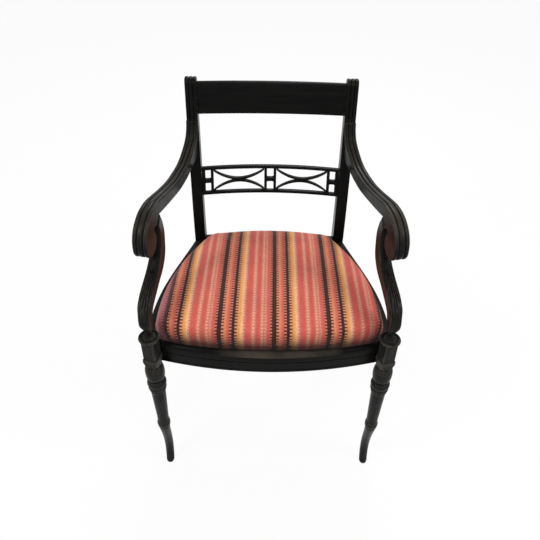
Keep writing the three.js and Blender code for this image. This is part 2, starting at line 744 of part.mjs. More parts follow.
function seatOutline(inset) {
  const at = ([x, y]) => [seatHalfWidth * x, legAxisY + seatBackY * y];
  const besideAt = ([x, y]) => [
    THREE.MathUtils.lerp(seatBackHalf, seatHalfWidth, x),
    legAxisY + seatBackY * y,
  ];
  const behindAt = ([x, y]) => [seatBackHalf * x, legAxisY + seatBackY * y];
  const front = seatFrontShares.map((share) => [
    seatHalfWidth * share,
    legAxisY + seatFrontBow * (share / seatFrontShares[3]) ** 2,
  ]);
  const corner = cornerPoints([front[3], ...seatCornerShares.map(at)], 5);
  const side = cubicPoints(seatSideShares.map(besideAt), 8);
  const backCorner = cornerPoints(seatBackCornerShares.map(behindAt), 3);
  const back = seatBackShares.map(behindAt);
  const half = [...front, ...corner.slice(1), ...side.slice(1), ...backCorner.slice(1), ...back];
  const other = half.slice(1, -1).reverse().map(([x, y]) => [-x, y]);
  const ring = [...half, ...other];
  return ring.map(([x, y], i) => {
    const [x0, y0] = ring[(i + ring.length - 1) % ring.length];
    const [x1, y1] = ring[(i + 1) % ring.length];
    const length = Math.hypot(x1 - x0, y1 - y0);
    return [x - (inset * (y1 - y0)) / length, y + (inset * (x1 - x0)) / length];
  });
}

// The cushion: its sides rise from the frame, swell just above the rails and roll over into the crown.
const cushionEdgeShares = [
  [0, 0], [0, 0.18], [-0.9, 0.3], [-1, 0.42], [-0.1, 0.62], [2.6, 0.76], [8, 0.87],
];
const cushionTopShares = [[0.84, 0.915], [0.66, 0.957], [0.4, 0.988], [0.14, 0.999]];
const seatMidY = legAxisY + seatBackY / 2;

// The height of the cushion at a share of its rise: lower towards the back.
function cushionZ(y, up, drop) {
  const backward = THREE.MathUtils.clamp((y - seatMidY) / (seatBackY / 2), 0, 1);
  const height = crownHeight - crownBackFall * backward ** 2;
  return railTopZ - ledgeDepth + (height + ledgeDepth - drop) * up;
}

function cushionSolid(inset, drop, lowZ) {
  const edgeRing = ([out, up]) =>
    seatOutline(seatClearance + inset + seatClearance * out).map(
      ([x, y]) => new THREE.Vector3(x, y, Math.max(lowZ, cushionZ(y, up, drop))),
    );
  const [rollOut] = cushionEdgeShares[cushionEdgeShares.length - 1];
  const roll = seatOutline(inset + seatClearance * (1 + rollOut));
  const topRing = ([out, up]) =>
    roll.map(([x, y]) => {
      const shrunkY = seatMidY + (y - seatMidY) * out;
      return new THREE.Vector3(x * out, shrunkY, cushionZ(shrunkY, up, drop));
    });
  const lowest = lowZ + webbingThickness;
  const edges = cushionEdgeShares.filter(([, up], i) => i === 0 || cushionZ(legAxisY, up, drop) > lowest);
  return solidOf(skin([...edges.map(edgeRing), ...cushionTopShares.map(topRing)]));
}

// Everything on the right is made first; the left is its mirror image.
const right = {};
right.front_leg = turnedLeg(0);
right.back_post = postSolid();
right.arm = armSolid();
right.arm_support = supportSolid();

const legCutter = turnedLeg(jointGap);
const axisAt = (z) => new THREE.Vector3(legSpread, legAxisY, z);
const mitreNormal = new THREE.Vector3(Math.cos(mitreAngle), Math.sin(mitreAngle), 0);
const mitreAlong = new THREE.Vector3(-Math.sin(mitreAngle), Math.cos(mitreAngle), 0);
const mitreCut = (side) => {
  const away = mitreNormal.clone().multiplyScalar(side);
  return halfSpace(axisAt(0).addScaledVector(away, -jointGap / 2), away);
};
const rebate = prism(seatOutline(0), ledgeZ, railTopZ + overrun);
const grownBox = (centre, size) =>
  boxSolid(centre, size.clone().addScalar(2 * jointGap));

// Side rail: coped round the leg, mitred to the front rail, tenoned into the post.
const postPlane = new THREE.Vector3(0, postFrontAtSeat - jointGap, 0);
right.side_seat_rail = sideBand(0)
  .subtract(mitreCut(-1))
  .subtract(legCutter)
  .subtract(rebate)
  .subtract(halfSpace(postPlane, new THREE.Vector3(0, 1, 0)));
const sideTenonCentre = new THREE.Vector3(postOuterX - postWidth / 2, postFrontAtSeat, tenonMidZ);
const sideTenonSize = new THREE.Vector3(tenonThickness, 2 * sideTenonLength, tenonHeight);
right.side_seat_rail = right.side_seat_rail.add(boxSolid(sideTenonCentre, sideTenonSize));
right.back_post = right.back_post.subtract(grownBox(sideTenonCentre, sideTenonSize));

// Front rail: mitred at both ends, with a sunk line round a long panel on its face.
const frontEndCut = legCutter.add(mitreCut(1));
let frontRail = frontBand(0).subtract(rebate).subtract(frontEndCut).subtract(mirrored(frontEndCut));
const groovePlan = (half) => {
  const line = acrossPoints(half, 14, frontFaceY);
  return [...offsetLine(line, -overrun), ...offsetLine(line, grooveDepth).reverse()];
};
[panelLowZ, panelHighZ - grooveWidth].forEach((z) => {
  frontRail = frontRail.subtract(prism(groovePlan(panelHalfLength), z, z + grooveWidth));
});
[-1, 1].forEach((side) => {
  const x = side * (panelHalfLength - grooveWidth / 2);
  const centre = new THREE.Vector3(x, frontFaceY(x) + grooveDepth - overrun, (panelLowZ + panelHighZ) / 2);
  const size = new THREE.Vector3(grooveWidth, 2 * overrun, panelHighZ - panelLowZ);
  frontRail = frontRail.subtract(boxSolid(centre, size));
});

// Back rail, tenoned between the posts.
let backRail = backBand(0, postInnerAt(0) - jointGap).subtract(rebate);

// Joins a rail that runs between the posts to both of them: a tenon at each end, a mortise in each post.
function tenonBothEnds(rail, centre, size) {
  const tenon = boxSolid(centre, size);
  right.back_post = right.back_post.subtract(grownBox(centre, size));
  return rail.add(tenon).add(mirrored(tenon));
}

backRail = tenonBothEnds(
  backRail,
  new THREE.Vector3(postInnerAt(0), legAxisY + backRailEndY + backRailThickness / 2, tenonMidZ),
  new THREE.Vector3(2 * backTenonLength, tenonThickness, tenonHeight),
);

// Crest rail: a bowed tablet whose top edge rolls back.
const crestShares = [
  [0, 0], [0, 0.7], [0.12, 0.84], [0.36, 0.94], [0.6, 0.985], [0.82, 1], [0.97, 0.955], [1, 0.89],
  [0.93, 0.82], [0.84, 0.75], [0.82, 0],
];
const crestSteps = 14;

function bowedBar(section, steps, setback, bow, endGap) {
  const rings = Array.from({ length: steps + 1 }, (_, i) => {
    const share = (2 * i) / steps - 1;
    return section.map(([depth, z]) => {
      const x = share * (postInnerAt(z) - endGap);
      return new THREE.Vector3(x, postFrontY(z) + setback + bow * (1 - share ** 2) + depth, z);
    });
  });
  return solidOf(skin(rings));
}

const crestSection = crestShares.map(([back, up]) => [crestDepth * back, crestLowZ + crestHeight * up]);
const crestTenonShare = 0.42;
const crestMidZ = crestLowZ + crestHeight * crestTenonShare;
const crestMidY = postFrontY(crestMidZ) + crestSetback + crestDepth * crestTenonShare;
const crestRail = tenonBothEnds(
  bowedBar(crestSection, crestSteps, crestSetback, crestBow, jointGap),
  new THREE.Vector3(postInnerAt(crestMidZ), crestMidY, crestMidZ),
  new THREE.Vector3(2 * crestTenonLength, crestTenonThickness, crestTenonHeight),
);

// Fret rail: two bars, uprights that divide them, spacers between the uprights, and crossed crescents.
const fretBarSteps = 14;

function fretBar(lowZ) {
  const highZ = lowZ + fretBarHeight;
  const section = [[0, lowZ], [0, highZ], [fretDepth, highZ], [fretDepth, lowZ]];
  const midZ = lowZ + fretBarHeight / 2;
  const midY = postFrontY(midZ) + fretSetback + fretDepth / 2;
  const centre = new THREE.Vector3(postInnerAt(midZ), midY, midZ);
  return tenonBothEnds(
    bowedBar(section, fretBarSteps, fretSetback, fretBow, jointGap),
    centre,
    new THREE.Vector3(2 * fretTenonLength, fretTenonThickness, fretTenonHeight),
  );
}

const fretTopBar = fretBar(fretLowZ + fretHeight - fretBarHeight);
const fretBottomBar = fretBar(fretLowZ);
const fretInnerLowZ = fretLowZ + fretBarHeight + jointGap;
const fretInnerHighZ = fretLowZ + fretHeight - fretBarHeight - jointGap;
const fretMidZ = fretLowZ + fretHeight / 2;
const fretHalf = postInnerAt(fretMidZ) - jointGap;
const uprightInner = fretCentreHoleWidth / 2;
const endUprightX = fretHalf - fretEndUprightWidth;
const uprightOuter = endUprightX - fretEndHoleWidth - fretUprightWidth;

// A point of the fret: across, depth behind its front face, and height, bowed with the bars.
function fretPoint(x, depth, z) {
  const bowShare = 1 - (x / (postInnerAt(z) - jointGap)) ** 2;
  return new THREE.Vector3(x, postFrontY(z) + fretSetback + fretBow * bowShare + depth, z);
}

function fretUpright(x, width) {
  const rings = [fretInnerLowZ, fretMidZ, fretInnerHighZ].map((z) => {
    const farX = Math.min(x + width, postInnerAt(z) - jointGap);
    return [
      fretPoint(x, 0, z),
      fretPoint(x, fretDepth, z),
      fretPoint(farX, fretDepth, z),
      fretPoint(farX, 0, z),
    ];
  });
  return solidOf(skin(rings));
}

// A spacer is a short block with a cove worked above and below its middle.
const spacerShares = [[0, 0.5], [0.18, 0.4], [0.5, 0.34], [0.82, 0.4], [1, 0.5]];

function fretSpacer(lowX, highX) {
  const rings = spacerShares.map(([along, half]) => {
    const x = THREE.MathUtils.lerp(lowX, highX, along);
    const [low, high] = [fretMidZ - spacerHeight * half, fretMidZ + spacerHeight * half];
    return [
      fretPoint(x, 0, low),
      fretPoint(x, 0, high),
      fretPoint(x, fretDepth, high),
      fretPoint(x, fretDepth, low),
    ];
  });
  return solidOf(skin(rings));
}

// A crescent springs from the corners under one bar, thickest there, and nears the middle of the fret.
const crescentSteps = 14;
const crescentPower = 0.8;

function crescent(lowX, highX, side) {
  const openHalf = (fretInnerHighZ - fretInnerLowZ) / 2;
  const rings = Array.from({ length: crescentSteps + 1 }, (_, i) => {
    const share = i / crescentSteps;
    const x = THREE.MathUtils.lerp(lowX, highX, share);
    const fall = Math.sin(share * Math.PI) ** crescentPower;
    const nearest = jointGap / 2;
    const inner = THREE.MathUtils.lerp(openHalf - crescentEndThickness, nearest, fall);
    const outer = THREE.MathUtils.lerp(openHalf, nearest + crescentThickness, fall);
    const inset = (fretDepth - crescentDepth) / 2;
    const [a, b] = [fretMidZ + side * inner, fretMidZ + side * outer];
    return [
      fretPoint(x, inset, a),
      fretPoint(x, inset, b),
      fretPoint(x, fretDepth - inset, b),
      fretPoint(x, fretDepth - inset, a),
    ];
  });
  return solidOf(skin(rings));
}

const lensInner = uprightInner + fretUprightWidth + jointGap;
const lensOuter = uprightOuter - jointGap;
right.fret_end_upright = fretUpright(endUprightX, fretEndUprightWidth * 2);
right.fret_outer_upright = fretUpright(uprightOuter, fretUprightWidth);
right.fret_inner_upright = fretUpright(uprightInner, fretUprightWidth);
right.fret_end_spacer = fretSpacer(uprightOuter + fretUprightWidth + jointGap, endUprightX - jointGap);
right.fret_upper_crescent = crescent(lensInner, lensOuter, 1);
right.fret_lower_crescent = crescent(lensInner, lensOuter, -1);
const centreSpacer = fretSpacer(-uprightInner + jointGap, uprightInner - jointGap);

// Dowels: each front leg to its corner mitre, each arm to its post, each support's head to its arm.
function dowelled(name, from, to, radius, hosts) {
  right[name] = rodSolid(from, to, radius, screwSides);
  const along = to.clone().sub(from).normalize().multiplyScalar(jointGap);
  const hole = rodSolid(from.clone().sub(along), to.clone().add(along), radius + jointGap, screwSides);
  hosts.forEach((host) => {
    right[host] = right[host].subtract(hole);
  });
  return hole;
}

const legDowelStart = axisAt(tenonMidZ).addScaledVector(mitreAlong, -dieHalf / 3);
const legDowelEnd = legDowelStart.clone().addScaledVector(mitreAlong, dowelLength);
const legDowelHole = dowelled(
  'leg_dowel',
  legDowelStart,
  legDowelEnd,
  dowelRadius,
  ['front_leg', 'side_seat_rail'],
);
frontRail = frontRail.subtract(legDowelHole).subtract(mirrored(legDowelHole));

const armSeatMidZ = armSeatLowZ + armSeatHeight / 5;
const armDowelShare = 0.6;
const armDowelX = postInnerAt(armSeatMidZ) + postWidth * armDowelShare;
const armDowelMid = new THREE.Vector3(armDowelX, postFrontY(armSeatMidZ), armSeatMidZ);
const armDowelHalf = new THREE.Vector3(0, armDowelLength / 2, 0);
dowelled(
  'arm_dowel',
  armDowelMid.clone().sub(armDowelHalf),
  armDowelMid.clone().add(armDowelHalf),
  armDowelRadius,
  ['arm', 'back_post'],
);

const headDowelMid = new THREE.Vector3(supportInnerX + supportHeadThickness / 2, headMid[0], headMid[1]);
dowelled(
  'support_head_dowel',
  headDowelMid.clone().addScaledVector(headUp, -headDowelLength / 2),
  headDowelMid.clone().addScaledVector(headUp, headDowelLength / 2),
  headDowelRadius,
  ['arm', 'arm_support'],
);

// A pin turned on the foot of the support goes down into the leg.
const pinMid = placeOnSupport(legAxisY + supportPinSetback, bossTopZ, 0.5);
const pinTop = pinMid.clone().setZ(bossTopZ + supportPinLength / 4);
const pinEnd = pinMid.clone().setZ(bossTopZ - supportPinLength);
const pinHoleEnd = pinEnd.clone().setZ(pinEnd.z - jointGap);
right.arm_support = right.arm_support.add(rodSolid(pinTop, pinEnd, supportPinRadius, screwSides));
const pinHole = rodSolid(pinTop, pinHoleEnd, supportPinRadius + jointGap, screwSides);
right.front_leg = right.front_leg.subtract(pinHole);

// Corner blocks glued and screwed inside the frame.
const blockTopZ = ledgeZ - jointGap * 4;
const innerCorner = axisAt(0).addScaledVector(mitreAlong, 2 * railThickness);
const frontBlockPlan = [
  [innerCorner.x - blockLeg, innerCorner.y - railThickness],
  [innerCorner.x + railThickness / 2, innerCorner.y - railThickness],
  [innerCorner.x + railThickness / 2, innerCorner.y + blockLeg],
];
right.front_corner_block = prism(frontBlockPlan, blockTopZ - blockThickness, blockTopZ)
  .subtract(sideBand(jointGap))
  .subtract(frontBand(jointGap));
const backCorner = [postInnerAt(0), postFrontAtSeat];
const backBlockPlan = [
  [backCorner[0] + railThickness / 2, backCorner[1] + overrun],
  [backCorner[0] - blockLeg, backCorner[1] + overrun],
  [backCorner[0] + railThickness / 2, backCorner[1] - blockLeg - railThickness / 2],
];
right.back_corner_block = prism(backBlockPlan, blockTopZ - blockThickness, blockTopZ)
  .subtract(sideBand(jointGap))
  .subtract(backBand(jointGap, postInnerAt(0) + postWidth))
  .subtract(boxSolid(
    new THREE.Vector3(postOuterX - postWidth / 2, postFrontAtSeat + postSeatDepth / 2, tenonMidZ),
    new THREE.Vector3(postWidth + 2 * jointGap, postSeatDepth + 2 * jointGap, railHeight),
  ));

// A countersunk screw from inside the frame, through a block into a rail.
function screwed(name, head, direction, block, rail) {
  const tip = head.clone().addScaledVector(direction, screwLength);
  const neck = head.clone().addScaledVector(direction, screwHeadHeight);
  const outside = head.clone().addScaledVector(direction, -blockLeg);
  const gap = direction.clone().multiplyScalar(jointGap);
  right[name] = rodSolid(neck.clone().sub(gap), tip, screwRadius, screwSides)
    .add(rodSolid(head, neck, screwHeadRadius, screwSides));
  const hole = rodSolid(head, tip.clone().add(gap), screwRadius + jointGap, screwSides)
    .add(rodSolid(outside, neck.clone().add(gap), screwHeadRadius + jointGap, screwSides));
  right[block] = right[block].subtract(hole);
  if (right[rail]) right[rail] = right[rail].subtract(hole);
  return hole;
}

const screwZ = blockTopZ - blockThickness / 2;
const screwInset = blockLeg * 0.42;
const screwSinkShare = 0.4;
const towardsFront = new THREE.Vector3(0, -1, 0);
const towardsSide = new THREE.Vector3(1, 0, 0);
const towardsBack = new THREE.Vector3(0, 1, 0);
const frontBlockBackY = frontFaceY(innerCorner.x - screwInset) + railThickness;
const frontHole = screwed(
  'front_block_front_screw',
  new THREE.Vector3(innerCorner.x - screwInset, frontBlockBackY + screwLength * screwSinkShare, screwZ),
  towardsFront, 'front_corner_block', 'none',
);
frontRail = frontRail.subtract(frontHole).subtract(mirrored(frontHole));
const sideScrewX = sideRailLegX - railThickness - screwLength * screwSinkShare;
screwed(
  'front_block_side_screw',
  new THREE.Vector3(sideScrewX, innerCorner.y + screwInset, screwZ),
  towardsSide, 'front_corner_block', 'side_seat_rail',
);
const backScrewX = backCorner[0] - screwInset;
const backHole = screwed(
  'back_block_back_screw',
  new THREE.Vector3(backScrewX, backRailFront(backScrewX) - screwLength * screwSinkShare, screwZ),
  towardsBack, 'back_corner_block', 'none',
);
backRail = backRail.subtract(backHole).subtract(mirrored(backHole));
screwed(
  'back_block_side_screw',
  new THREE.Vector3(backCorner[0] - screwLength * screwSinkShare, backCorner[1] - screwInset, screwZ),
  towardsSide, 'back_corner_block', 'side_seat_rail',
);

// Drop-in seat: four frame members, webbing, pad and cover.
const seatLowZ = ledgeZ + jointGap;
const frameInset = seatClearance + coverThickness + jointGap;
const frameTopZ = seatLowZ + seatFrameHeight;
const narrowed = (outline, width) =>
  outline.map(([x, y]) => [
    x * (1 - width / seatHalfWidth),
    seatMidY + (y - seatMidY) * (1 - (2 * width) / seatBackY),
  ]);
const frameOutline = seatOutline(frameInset);
const frameRing = prism(frameOutline, seatLowZ, frameTopZ)
  .subtract(prism(narrowed(frameOutline, seatFrameWidth), seatLowZ - overrun, frameTopZ + overrun));
const frontJoinY = legAxisY + seatFrontBow + seatFrameWidth;
const backJoinY = legAxisY + seatBackY * seatBackCornerShares[2][1] - seatFrameWidth;
const pastY = (y, side) => halfSpace(new THREE.Vector3(0, y, 0), new THREE.Vector3(0, side, 0));
const sideMembers = frameRing
  .subtract(pastY(frontJoinY + jointGap, -1))
  .subtract(pastY(backJoinY - jointGap, 1));
right.seat_frame_side = sideMembers.subtract(halfSpace(new THREE.Vector3(), new THREE.Vector3(-1, 0, 0)));
const seatFrameFront = frameRing.subtract(pastY(frontJoinY, 1));
const seatFrameBack = frameRing.subtract(pastY(backJoinY, -1));

const webLowZ = frameTopZ + jointGap;
const webStripShares = [-0.52, 0, 0.52];
const webField = prism(narrowed(frameOutline, seatFrameWidth / 3), webLowZ, webLowZ + webbingThickness);
const webStrips = webStripShares.flatMap((share) => [
  boxSolid(
    new THREE.Vector3(seatHalfWidth * share, seatMidY, webLowZ),
    new THREE.Vector3(webbingWidth, seatDepth * 2, overrun),
  ),
  boxSolid(
    new THREE.Vector3(0, seatMidY + (seatBackY / 2) * share, webLowZ),
    new THREE.Vector3(seatHalfWidth * 3, webbingWidth, overrun),
  ),
]);
const webbing = webField.intersect(webStrips.reduce((whole, strip) => whole.add(strip)));

const padLowZ = webLowZ + webbingThickness + jointGap;
const pad = cushionSolid(coverThickness + jointGap, coverThickness + jointGap, padLowZ);
const cover = cushionSolid(0, 0, seatLowZ).subtract(
  cushionSolid(coverThickness, coverThickness, seatLowZ - overrun),
);

// The chair: the fixed frame, and the seat that lifts out.
const chair = new THREE.Group();
const slipSeat = new THREE.Group();
chair.add(slipSeat);

function addMesh(parent, name, solid, look) {
  const material = new THREE.MeshStandardMaterial(look);
  material.name = name;
  const mesh = new THREE.Mesh(geometryOf(solid), material);
  mesh.name = name;
  parent.add(mesh);
}

const rawPieces = [
  'leg_dowel', 'arm_dowel', 'support_head_dowel', 'front_corner_block', 'back_corner_block',
  'seat_frame_side',
];
Object.entries(right).forEach(([name, solid]) => {
  const parent = name === 'seat_frame_side' ? slipSeat : chair;
  const timberLook = rawPieces.includes(name) ? rawWoodLook : woodLook;
  const look = name.endsWith('screw') ? steelLook : timberLook;
  addMesh(parent, `right_${name}`, solid, look);
  addMesh(parent, `left_${name}`, mirrored(solid), look);
});
addMesh(chair, 'front_seat_rail', frontRail, woodLook);
addMesh(chair, 'back_seat_rail', backRail, woodLook);
addMesh(chair, 'crest_rail', crestRail, woodLook);
addMesh(chair, 'fret_top_bar', fretTopBar, woodLook);
addMesh(chair, 'fret_bottom_bar', fretBottomBar, woodLook);
addMesh(chair, 'fret_centre_spacer', centreSpacer, woodLook);
addMesh(slipSeat, 'seat_frame_front', seatFrameFront, rawWoodLook);
addMesh(slipSeat, 'seat_frame_back', seatFrameBack, rawWoodLook);
addMesh(slipSeat, 'seat_webbing', webbing, webLook);
addMesh(slipSeat, 'seat_pad', pad, padLook);
addMesh(slipSeat, 'seat_cover', cover, fabricLook);

export default chair;
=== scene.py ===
"""An ebonised open armchair with scrolled arms, turned front legs, a fret rail and a striped drop-in seat."""
import math

import bmesh
import bpy
import numpy as np
from mathutils import Matrix, Vector, geometry


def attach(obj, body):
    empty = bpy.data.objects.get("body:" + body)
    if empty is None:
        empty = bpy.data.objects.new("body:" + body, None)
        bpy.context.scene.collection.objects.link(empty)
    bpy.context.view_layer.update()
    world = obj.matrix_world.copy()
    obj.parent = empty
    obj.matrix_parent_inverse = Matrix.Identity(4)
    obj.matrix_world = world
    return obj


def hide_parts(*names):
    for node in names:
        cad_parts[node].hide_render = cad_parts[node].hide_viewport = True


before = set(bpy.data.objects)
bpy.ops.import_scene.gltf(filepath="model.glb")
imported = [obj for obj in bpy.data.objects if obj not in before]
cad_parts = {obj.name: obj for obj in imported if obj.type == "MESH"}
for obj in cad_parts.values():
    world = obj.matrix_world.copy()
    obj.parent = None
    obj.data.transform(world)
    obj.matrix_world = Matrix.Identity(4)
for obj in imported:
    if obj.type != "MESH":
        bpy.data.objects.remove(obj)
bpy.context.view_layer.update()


# Front legs. Each is one length of beech, turned below the seat and under the cap, left square between
# them with a sunk panel, and bent forward at the foot by shaping after turning. The whole frame is
# ebonised: stained black and polished, with the brown of the wood coming through on the arrises.
def wire(tree, kind, inputs=(), **settings):
    """Adds one shader node; each input gets a number, a colour or the socket that feeds it."""
    made = tree.nodes.new(kind)
    for setting, value in settings.items():
        setattr(made, setting, value)
    for socket, value in dict(inputs).items():
        if isinstance(value, bpy.types.NodeSocket):
            tree.links.new(value, made.inputs[socket])
        else:
            made.inputs[socket].default_value = value
    return made


def new_look(name):
    """A new material with its node tree and its surface shader."""
    look = bpy.data.materials.new(name)
    look.use_nodes = True
    return look, look.node_tree, look.node_tree.nodes["Principled BSDF"]


def noise_over(tree, place, scale, detail=2.0, roughness=0.5):
    """Noise with this many swellings to a unit of the place, and ever finer noise added to it."""
    return wire(tree, "ShaderNodeTexNoise", {
        "Vector": place, "Scale": scale, "Detail": detail, "Roughness": roughness}).outputs["Fac"]


def carried(tree, value, low, high, to_low=0.0, to_high=1.0):
    """The value moved along a straight line, low to to_low and high to to_high, and held beyond them."""
    return wire(tree, "ShaderNodeMapRange", {
        "Value": value, "From Min": low, "From Max": high, "To Min": to_low, "To Max": to_high,
    }).outputs["Result"]


def worked_out(tree, operation, *terms):
    """The terms put through one step of arithmetic."""
    return wire(tree, "ShaderNodeMath", enumerate(terms), operation=operation).outputs["Value"]


def tinted(tree, share, colour, tint, blend_type="MIX"):
    """The colour moved a share of the way to the tint or, with MULTIPLY, to their product."""
    return wire(tree, "ShaderNodeMix", {"Factor": share, "A": colour, "B": tint},
                data_type="RGBA", blend_type=blend_type).outputs["Result"]


def tilted(tree, height, strength, distance, normal=None):
    """The normal tilted by the slope of the height, which is this distance in metres from 0 to 1."""
    inputs = {"Height": height, "Strength": strength, "Distance": distance}
    if normal is not None:
        inputs["Normal"] = normal
    return wire(tree, "ShaderNodeBump", inputs).outputs["Normal"]


def ebonised_wood(name, grain, tone, cheek_from=None):
    """Black polish over beech. The grain is noise drawn out along one axis. The attribute "relief" is
    negative in hollows, where the polish lies deep and black and this black is also painted shade, and
    positive on crests, where the polish is worn down to brown; painted highlights and painted shade are
    added to it on some pieces. tone is how light the stain is, as a factor: a lighter tone is painted
    light, for pieces that catch more light. cheek_from is the y in metres in front of which the flat
    cheeks of the boards turn brown."""
    look, tree, surface = new_look(name)
    place = wire(tree, "ShaderNodeTexCoord").outputs["Object"]
    drawn = wire(tree, "ShaderNodeMapping", {"Vector": place, "Scale": grain}).outputs["Vector"]
    figure = noise_over(tree, drawn, 9.0, 5.0, 0.6)
    pores = noise_over(tree, drawn, 46.0, 3.0, 0.7)
    cloud = noise_over(tree, place, 11.0, 4.0, 0.55)
    relief = wire(tree, "ShaderNodeAttribute", attribute_name="relief").outputs["Fac"]
    stain = wire(tree, "ShaderNodeValToRGB", {"Fac": figure})
    deep, thin = stain.color_ramp.elements
    deep.position, deep.color = 0.32, (0.0016 * tone, 0.0016 * tone, 0.0015 * tone, 1)
    thin.position, thin.color = 0.72, (0.0052 * tone, 0.0051 * tone, 0.0047 * tone, 1)
    patchy, rubbed_and_lit = carried(tree, cloud, 0.38, 0.66, 0.25, 1.0), carried(tree, relief, 0.10, 0.75, 0.0, 0.75)
    worn_and_lit_brown, hollow_and_shade_black = (0.090, 0.074, 0.055, 1), (0.0005, 0.0005, 0.0005, 1)
    colour = tinted(tree, worked_out(tree, "MULTIPLY", rubbed_and_lit, patchy), stain.outputs["Color"], worn_and_lit_brown)
    if cheek_from is not None:
        cheek = wire(tree, "ShaderNodeAttribute", attribute_name="cheek").outputs["Fac"]
        along = wire(tree, "ShaderNodeSeparateXYZ", {"Vector": place}).outputs["Y"]
        forward = carried(tree, along, cheek_from, cheek_from - 0.05, 0.0, 0.85)
        brown = tinted(tree, figure, (0.024, 0.0152, 0.0134, 1), (0.044, 0.0278, 0.0245, 1))
        colour = tinted(tree, worked_out(tree, "MULTIPLY", cheek, forward), colour, brown)
    shaded = tinted(tree, carried(tree, relief, -0.55, -0.08, 0.05, 1.0), hollow_and_shade_black, colour)
    grained = tilted(tree, pores, 0.22, 0.0004)
    brushed = tilted(tree, cloud, 0.35, 0.002, grained)
    tree.links.new(shaded, surface.inputs["Base Color"])
    tree.links.new(carried(tree, cloud, 0.3, 0.7, 0.22, 0.38), surface.inputs["Roughness"])
    tree.links.new(brushed, surface.inputs["Normal"])
    surface.inputs["Specular IOR Level"].default_value = 0.06
    return look


def woven_grid(rows, columns, wraps=True, closed=True):
    """Quads between neighbouring points of a grid of rows; wraps joins the last column to the first, and
    closed puts one flat face on the first row and one on the last."""
    across = columns if wraps else columns - 1
    row, column = np.meshgrid(np.arange(rows - 1), np.arange(across), indexing="ij")
    here, beside = row * columns + column, row * columns + (column + 1) % columns
    quads = np.stack([here, beside, beside + columns, here + columns], axis=-1).reshape(-1, 4).tolist()
    ends = [list(range(columns - 1, -1, -1)), list(range((rows - 1) * columns, rows * columns))]
    return quads + ends if closed else quads


def read_off(items, field, width=3, kind=float):
    """One field of all points, edges, corners or faces of a mesh, a row for each."""
    flat = np.empty(len(items) * width, dtype=kind)
    items.foreach_get(field, flat)
    return flat.reshape(-1, width)


def measure_relief(mesh, crest_radius, wear):
    """Stores how proud each point stands: the sum of the unit vectors to its neighbours along its normal,
    over the summed length of those edges, is the curvature. Twice crest_radius times that, averaged
    with the neighbours', is the relief, and wear is added to it: painted highlights where it
    raises the relief and painted shade where it lowers it."""
    count = len(mesh.vertices)
    place, normal = read_off(mesh.vertices, "co"), read_off(mesh.vertices, "normal")
    pairs = read_off(mesh.edges, "vertices", 2, np.int64)
    span = place[pairs[:, 1]] - place[pairs[:, 0]]
    length = np.maximum(np.linalg.norm(span, axis=1), 1e-7)
    unit = span / length[:, None]
    lean, reach = np.zeros(count), np.zeros(count)
    np.add.at(lean, pairs[:, 0], np.sum(unit * normal[pairs[:, 0]], axis=1))
    np.add.at(lean, pairs[:, 1], -np.sum(unit * normal[pairs[:, 1]], axis=1))
    np.add.at(reach, pairs[:, 0], length)
    np.add.at(reach, pairs[:, 1], length)
    relief = np.clip(-2.0 * crest_radius * lean / reach, -1.0, 1.0)
    mean, shared = relief.copy(), np.ones(count)
    np.add.at(mean, pairs[:, 0], relief[pairs[:, 1]])
    np.add.at(mean, pairs[:, 1], relief[pairs[:, 0]])
    np.add.at(shared, pairs.ravel(), 1.0)
    layer = mesh.attributes.new("relief", "FLOAT", "POINT")
    layer.data.foreach_set("value", (mean / shared + wear).astype(np.float32))


def new_mesh(name, points, faces):
    """A mesh from points in millimetres, with its faces turned outwards."""
    mesh = bpy.data.meshes.new(name)
    mesh.from_pydata((points.reshape(-1, 3) / 1000.0).tolist(), [], faces)
    worked = bmesh.new()
    worked.from_mesh(mesh)
    bmesh.ops.recalc_face_normals(worked, faces=worked.faces)
    worked.to_mesh(mesh)
    worked.free()
    return mesh


def set_down(name, data):
    """A new object in the scene that holds this mesh, lamp or camera."""
    piece = bpy.data.objects.new(name, data)
    bpy.context.scene.collection.objects.link(piece)
    return piece


def wooden_piece(name, points, look, stands_for, faces=None, crest_radius=0.003, sharp=35.0, cheeks=None,
                 wear=0.0):
    """One piece of the frame from points in millimetres. Where it has no faces of its own, its points are
    a grid of rows round the piece, closed at both ends."""
    mesh = new_mesh(name, points, woven_grid(*points.shape[:2]) if faces is None else faces)
    mesh.shade_smooth()
    mesh.set_sharp_from_angle(angle=math.radians(sharp))
    measure_relief(mesh, crest_radius, wear)
    if cheeks is not None:
        mesh.attributes.new("cheek", "FLOAT", "POINT").data.foreach_set("value", cheeks.astype(np.float32))
    mesh.materials.append(look)
    piece = set_down(name, mesh)
    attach(piece, "chair_frame")
    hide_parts(*stands_for)


def pair_of(name, points, look, node, **finish):
    """The right-hand piece, and its mirror image in the chair's middle plane."""
    for side, hand in (("right", 1.0), ("left", -1.0)):
        wooden_piece(f"{side}_{name}", points * (hand, 1.0, 1.0), look, [f"{side}_{node}"], **finish)


def half_round(low, high, root, crown, count):
    """Heights and radii of a bead: both follow one angle, as its cosine and its sine."""
    angle = np.linspace(0.0, np.pi, count)
    heights = (low + high) / 2 - (high - low) / 2 * np.cos(angle)
    return np.stack([heights, root + (crown - root) * np.sin(angle)], 1)


def drawn_line(points, count):
    """Points evenly along straight lines between the given ones."""
    points = np.asarray(points, float)
    share = np.linspace(0.0, len(points) - 1.0, count)
    return np.stack([np.interp(share, np.arange(len(points)), column) for column in points.T], 1)


def with_square(rows, half):
    """Adds to each row of height and radius the half width of the square that the row is cut to."""
    return np.concatenate([rows, np.full((len(rows), 1), half)], 1)
